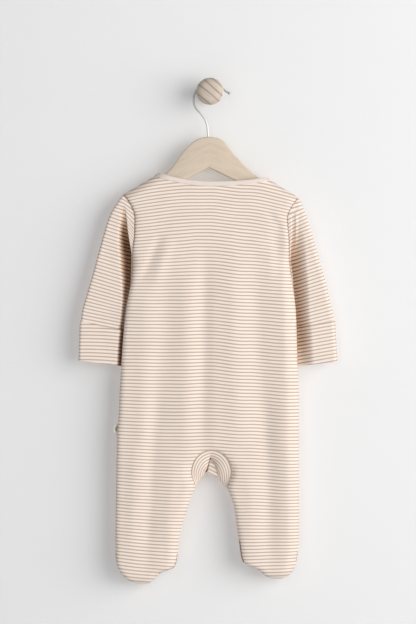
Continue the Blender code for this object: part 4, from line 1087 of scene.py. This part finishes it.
label = dict(
    top=-0.4421, low=-0.4536, inset=0.0012, wall=0.0006,
    reach=0.0066, half=0.0017, leaf=0.0004, squash=0.30,  # how far it stands out; half its loop and gap
    # the third colour is the painted shade inside the loop
    pale=(0.95, 0.94, 0.89), deep=(0.88, 0.86, 0.80), loopShade=(0.36, 0.32, 0.21),
    fold=0.0078, loopShadeOff=0.0064, loopShadeSize=(0.0042, 0.0044),  # along the ribbon from its seam edge: the fold, and the painted shade's place and size
)


# A ribbon folded round in half a circle and sewn into the side seam by both ends.
def labelGrid():
    z = np.linspace(label["top"], label["low"], 24)[:, None]
    edge = follow(outerEdge["left"], "x", z) + label["inset"]
    turn = np.linspace(-math.pi / 2, math.pi / 2, 25)
    out = np.concatenate([[0], label["reach"] - label["half"] + label["half"] * np.cos(turn), [0]])
    y = np.concatenate([[-label["leaf"]], label["half"] * np.sin(turn), [label["leaf"]]])
    middle, tall = (label["top"] + label["low"]) / 2, (label["top"] - label["low"]) / 2
    x = edge - out * (1 - label["squash"] * np.abs((z - middle) / tall) ** 4)
    points = np.stack(np.broadcast_arrays(x, midY + y, z), -1)
    run = travel(points, 1)
    return points, np.stack([run, z + 0 * run], -1)


def ribbonPaint():  # two crossed waves for the weave, and painted shade on the loop's side
    paint = Paint("wovenRibbon", {"Sheen Weight": 0.3, "Specular IOR Level": 0.3})
    across, up, _ = paint.parts(paint.clothPlace())
    weave = (across * 2600).peak() * 0.5 + (up * 3400).peak() * 0.5
    colour = paint.mix(weave, label["deep"], label["pale"])
    fromFold = (across - label["fold"]).math("ABSOLUTE")  # painted shade: a dark oval on the loop's side by the seam, for the shade inside the loop
    aside = (fromFold - label["loopShadeOff"]) / label["loopShadeSize"][0]
    above = (up - (label["top"] + label["low"]) / 2) / label["loopShadeSize"][1]
    loopShadeMask = 1 - (aside * aside + above * above).limit(0.35, 1.0)
    colour = paint.mix(loopShadeMask * 0.75, colour, label["loopShade"])
    return paint.finish(colour, 0.72 + weave * 0.1, weave, 0.3, 0.0001)


sideLabel = sheetMesh("sideLabel", [labelGrid()], (-0.1255, midY, -0.448), ribbonPaint(), label["wall"])
dress(sideLabel, "ribbon", "side_label")
print("popper band, poppers and label made")

# hanger, hook and peg

wood = {
    "board": dict(
        pale=(0.600, 0.508, 0.402), deep=(0.508, 0.414, 0.320), streak=(0.440, 0.340, 0.250), drawn=0.13,
        turn=0.43, stretch=(6.0, 1.0, 0.8), mirrored=True,  # the fibre's angle and length
        across=(0.42, 0.0, 0.91), lines=60.0, shift=0.0, waver=4.5,  # the year rings' way, number a metre
    ),
    "peg": dict(
        pale=(0.550, 0.472, 0.395), deep=(0.415, 0.343, 0.280), streak=(0.230, 0.160, 0.120), drawn=0.72,
        turn=math.radians(40), stretch=(6.0, 2.0, 0.6), mirrored=False,
        across=(0.64, 0.0, 0.77), lines=106.0, shift=0.62, waver=0.7,
    ),
}


# Long grain: noise stretched along the fibre, thin darker pores, and year rings: evenly spaced lines across
# the grain, pushed to and fro by a slow noise. On the board the grain follows each arm, mirrored about the
# middle.
def woodPaint(name, look):
    paint = Paint(name, {"Specular IOR Level": 0.35, "Coat Weight": 0.08, "Coat Roughness": 0.4})
    place = paint.objectPlace()
    if look["mirrored"]:
        x, y, z = paint.parts(place)
        place = paint.node("CombineXYZ", None, {0: x.math("ABSOLUTE"), 1: y, 2: z})
    laid = paint.node("Mapping", {"vector_type": "TEXTURE"},
                      {"Vector": place, "Rotation": (0.0, look["turn"], 0.0), "Scale": look["stretch"]})
    fibre = paint.noise(laid, 420.0, 4.0, 0.6)
    slow = paint.noise(laid, 60.0, 2.0)
    across = paint.node("VectorMath", {"operation": "DOT_PRODUCT"}, {0: place, 1: look["across"]}, 1)
    ring = (across * look["lines"] + slow * look["waver"] + look["shift"]).peak()
    colour = paint.mix(ring * 0.3 + fibre * 0.35, look["pale"], look["deep"])
    colour = paint.mix(fibre.limit(0.58, 0.72) * 0.4, colour, look["streak"])
    colour = paint.mix(ring.limit(0.74, 0.96) * look["drawn"], colour, look["streak"])
    return paint.finish(colour, 0.46 + fibre * 0.2, fibre + ring * 0.3, 0.18, 0.0003)


hanger = dict(
    half=0.0050, corner=0.0022, columns=180, places=40, crowd=0.35,  # how much closer the end slices lie
    tip=(0.004, 0.45),  # how far the ends thin, and to what share
    top=table(
        "x z",
        (-105.5, -137.2), (-104, -134.6), (-101.5, -132.4), (-90, -125.3), (-70, -115.7), (-60, -110.6),
        (-53.6, -105), (-45.2, -94.5), (-35.8, -80.9), (-26.2, -70.8), (-20, -66), (-13.3, -62.6),
        (-2.7, -60.7), (10.5, -62.6), (16, -65.4), (21.1, -70.1), (29.3, -80.9), (38.8, -91.5),
        (50.6, -103.3), (61.4, -112.5), (73, -119.6), (95, -130.6), (102.5, -135.8), (105, -138.2),
        (106.3, -140.7),
    ),
    low=table(
        "x z",
        (-105.5, -137.8), (-104, -140.8), (-101.5, -142.4), (-88, -140.2), (-60, -130.8), (-28.6, -116.4),
        (-6, -103.8), (-1.5, -101.7), (3, -103.8), (31.2, -117.5), (62, -132.2), (90, -143.7),
        (102.3, -145.7), (104.8, -144.2), (106.3, -141.3),
    ),
)


# The board is cut into upright slices; each is a rounded rectangle between the top and the lower outline.
def hangerRings():
    left, right = hanger["top"]["x"].min(), hanger["top"]["x"].max()
    even = np.arange(hanger["columns"] + 1) / hanger["columns"]
    x = left + (right - left) * (even + hanger["crowd"] * (spread(hanger["columns"]) - even))
    top, low = (follow(hanger[edge], "z", x, "x") for edge in ("top", "low"))
    tall = np.maximum((top - low) / 2, 1e-5)
    run, thin = hanger["tip"]
    thick = hanger["half"] * (thin + (1 - thin) * roll(np.minimum(x - left, right - x), run))
    corner = np.minimum(np.minimum(hanger["corner"], tall), thick)
    y, rise = roundedBox(hanger["places"], thick[:, None], tall[:, None], corner[:, None])
    return np.stack([x[:, None] + 0 * y, midY + y, ((top + low) / 2)[:, None] + rise], -1)


woodHanger = tubeMesh("woodHanger", hangerRings(), woodPaint("hangerBeech", wood["board"]))
dress(woodHanger, "wood", "hanger")

hook = dict(
    radius=0.00125, centre=(0.0019, -0.0118), bend=0.0236, turn=(66.0, 208), ball=0.0019, smooth=8,
    flare=[(0.0238, -0.0019), (0.0209, -0.0003), (0.0181, 0.0018), (0.0158, 0.0046), (0.0137, 0.0077)],
    stem=[(-0.0152, -0.0268), (-0.0100, -0.0325), (-0.0062, -0.0383), (-0.0040, -0.0440),
          (-0.0031, -0.0500), (-0.0027, -0.0560), (-0.0027, -0.0640)],
    steelAndShade=((0.42, 0.405, 0.39), (0.50, 0.485, 0.47)),
    paintedLit=(0.60, 0.585, 0.57), paintedLitFrom=(-0.034, -0.012),  # painted light: the low, straight part is painted brighter and the top by the peg darker, as the light falls
)


def steelPaint():  # noise drawn out along the wire, with painted light: brighter below a height
    paint = Paint("brushedSteel", {"Metallic": 1.0})
    place = paint.objectPlace()
    drawn = paint.node("Mapping", None, {"Vector": place, "Scale": (1.0, 1.0, 0.2)})
    scratch = paint.noise(drawn, 2600.0, 3.0)
    height = paint.parts(place)[2]
    # painted light: the wire is brighter below a height
    low = 1 - height.limit(*hook["paintedLitFrom"])
    colour = paint.mix(low, paint.mix(scratch, *hook["steelAndShade"]), hook["paintedLit"])
    return paint.finish(colour, 0.42 + scratch * 0.16, scratch, 0.05, 0.0001)


# The wire's centre line: a tip that turns outwards, an arc over the peg, a smooth bend back to the middle,
# then straight down into the board.
def hookPath():
    arc = np.radians(np.linspace(*hook["turn"], 60))
    bend = np.array(hook["centre"]) + hook["bend"] * np.stack([np.cos(arc), np.sin(arc)], -1)
    line = np.concatenate([hook["flare"], bend, hook["stem"]])
    x, z = placesOn(line, np.linspace(0, travel(line)[-1], 150)).T
    return smoothed(np.stack([x, np.full_like(x, midY), z], -1), hook["smooth"], False)


steel = steelPaint()
wirePath = hookPath()
wireHook = tubeMesh("wireHook", barRings(wirePath, hook["radius"], (0, 1, 0), 24), steel)
dress(wireHook, "steel", "hook")
tipWay = unit(wirePath[0] - wirePath[1])
ballTurn = np.linspace(0, math.pi, 24)
ballProfile = hook["ball"] * np.stack([np.sin(ballTurn), np.cos(ballTurn)], -1)
hookTip = turned("hookTip", ballProfile, wirePath[0] + tipWay * hook["ball"] * 0.9, tipWay, steel, 40)
dress(hookTip, "steel", "hook_tip")

peg = dict(
    stem=0.01175, stemLength=0.030, head=0.0179, headLength=0.021, lower=0.0012,  # lower than the origin
    dome=0.62, back=0.8, backTurn=-70,  # powers of the cosine, and how far the head's back turns in
    collar=(0.0002, 0.001), chamfer=0.0006,
)


# A flattened dome with a soft shoulder, a tapering back and a straight stem with a fine collar line, as
# (radius, distance from the wall). The head is half a circle turned from its tip, its cosine raised to a
# power on each side.
def pegOutline():
    turn = np.radians(np.concatenate([np.linspace(90, 0, 26), np.linspace(0, peg["backTurn"], 12)[1:]]))
    cosine = np.maximum(np.cos(turn), 0)
    swell = peg["headLength"] / 2
    dome = peg["head"] * cosine ** peg["dome"]
    back = peg["stem"] + (peg["head"] - peg["stem"]) * cosine ** peg["back"]
    head = np.stack([np.where(turn >= 0, dome, back), peg["stemLength"] + swell + swell * np.sin(turn)], -1)
    deep, step = peg["collar"]
    stem = [(peg["stem"] - deep * (i == 2), peg["stemLength"] - step * i) for i in (1, 2, 3)]
    foot = [(peg["stem"], peg["chamfer"]), (peg["stem"] - peg["chamfer"], 0.0), (0.0, 0.0)]
    return np.concatenate([head, stem, foot])


pegWood = woodPaint("pegBeech", wood["peg"])
wallPeg = turned("wallPeg", pegOutline(), (0, 0, -peg["lower"]), (0, -1, 0), pegWood)
dress(wallPeg, "wood", "peg")
print("hanger, hook and peg made")

# stage, light and camera

stage = dict(
    wallY=0.0006, floorZ=-0.92, topZ=1.6, reach=2.6, wall=(0.73, 0.73, 0.735), floor=(0.76, 0.76, 0.76),
)


def plainPaint(name, colour):  # seen from its front face only
    paint = Paint(name, {"Roughness": 0.95, "Specular IOR Level": 0.1})
    fine = paint.noise(paint.objectPlace(), 90.0, 4.0)
    paint.finish(paint.mix(fine, tuple(c * 0.992 for c in colour), colour), None, fine, 0.04, 0.0004)
    clear = paint.node("BsdfTransparent")
    backFace = paint.node("NewGeometry", None, None, 6)
    blend = paint.node("MixShader", None, {0: backFace, 1: Wire(paint, paint.shader.outputs[0]), 2: clear})
    paint.join(paint.tree.nodes["Material Output"].inputs["Surface"], blend)
    return paint.material


def stagePlane(name, corners, finish):
    made = meshObject(name, np.array(corners, float), np.array([[0, 1, 2, 3]]), None, finish)
    return made


r, y, low, high = stage["reach"], stage["wallY"], stage["floorZ"], stage["topZ"]
wallCorners = [(-r, y, low), (r, y, low), (r, y, high), (-r, y, high)]
wallPlane = stagePlane("wall", wallCorners, plainPaint("wallPaint", stage["wall"]))
wallPlane.visible_shadow = False
wallPlane.visible_diffuse = False
floorCorners = [(-r, -r, low), (r, -r, low), (r, r, low), (-r, r, low)]
stagePlane("floor", floorCorners, plainPaint("floorPaint", stage["floor"]))

lamps = dict(
    key=dict(place=(2.40, -2.00, -0.28), size=3.8, power=141.0, colour=(1.0, 0.985, 0.965)),
    fill=dict(place=(-0.8, -3.3, 0.1), size=2.6, power=25.5, colour=(0.97, 0.985, 1.0)),
    behind=dict(place=(0.9, 2.4, 0.3), size=1.6, power=60.0, colour=(0.98, 0.99, 1.0)),
)
air = dict(colour=(0.98, 0.99, 1.0, 1), strength=0.332)
aim = np.array((0.0, -0.02, -0.33))


def addObject(name, data, place, rotation):
    made = bpy.data.objects.new(name, data)
    bpy.context.scene.collection.objects.link(made)
    made.location, made.rotation_euler = place, rotation
    return made


def areaLight(name, place, size, power, colour):  # a round light that faces the middle of the suit
    lamp = bpy.data.lights.new(name, "AREA")
    lamp.shape, lamp.size, lamp.energy, lamp.color = "DISK", size, power, colour
    x, y, z = aim - np.array(place)
    addObject(name, lamp, place, (math.atan2(math.hypot(x, y), -z), 0, math.atan2(y, x) - math.pi / 2))


for name, lamp in lamps.items():
    areaLight(f"{name}Light", **lamp)
world = bpy.data.worlds.new("studio")
world.use_nodes = True
background = world.node_tree.nodes["Background"]
background.inputs[0].default_value, background.inputs[1].default_value = air["colour"], air["strength"]
bpy.context.scene.world = world
bpy.context.scene.view_settings.view_transform = "Standard"

# the frame is 416 x 624; 1.3256 mm a pixel in the plane of the side seams
view = dict(centre=(-0.00265, -0.29296), plane=-0.026, distance=5.0, height=624 * 0.0013256, sensor=36)
camera = bpy.data.cameras.new("camera")
camera.sensor_fit = "VERTICAL"
camera.sensor_height = view["sensor"]
camera.lens = view["sensor"] * view["distance"] / view["height"]
eye = (view["centre"][0], view["plane"] - view["distance"], view["centre"][1])
bpy.context.scene.camera = addObject("camera", camera, eye, (math.pi / 2, 0, 0))
print("stage, light and camera made")
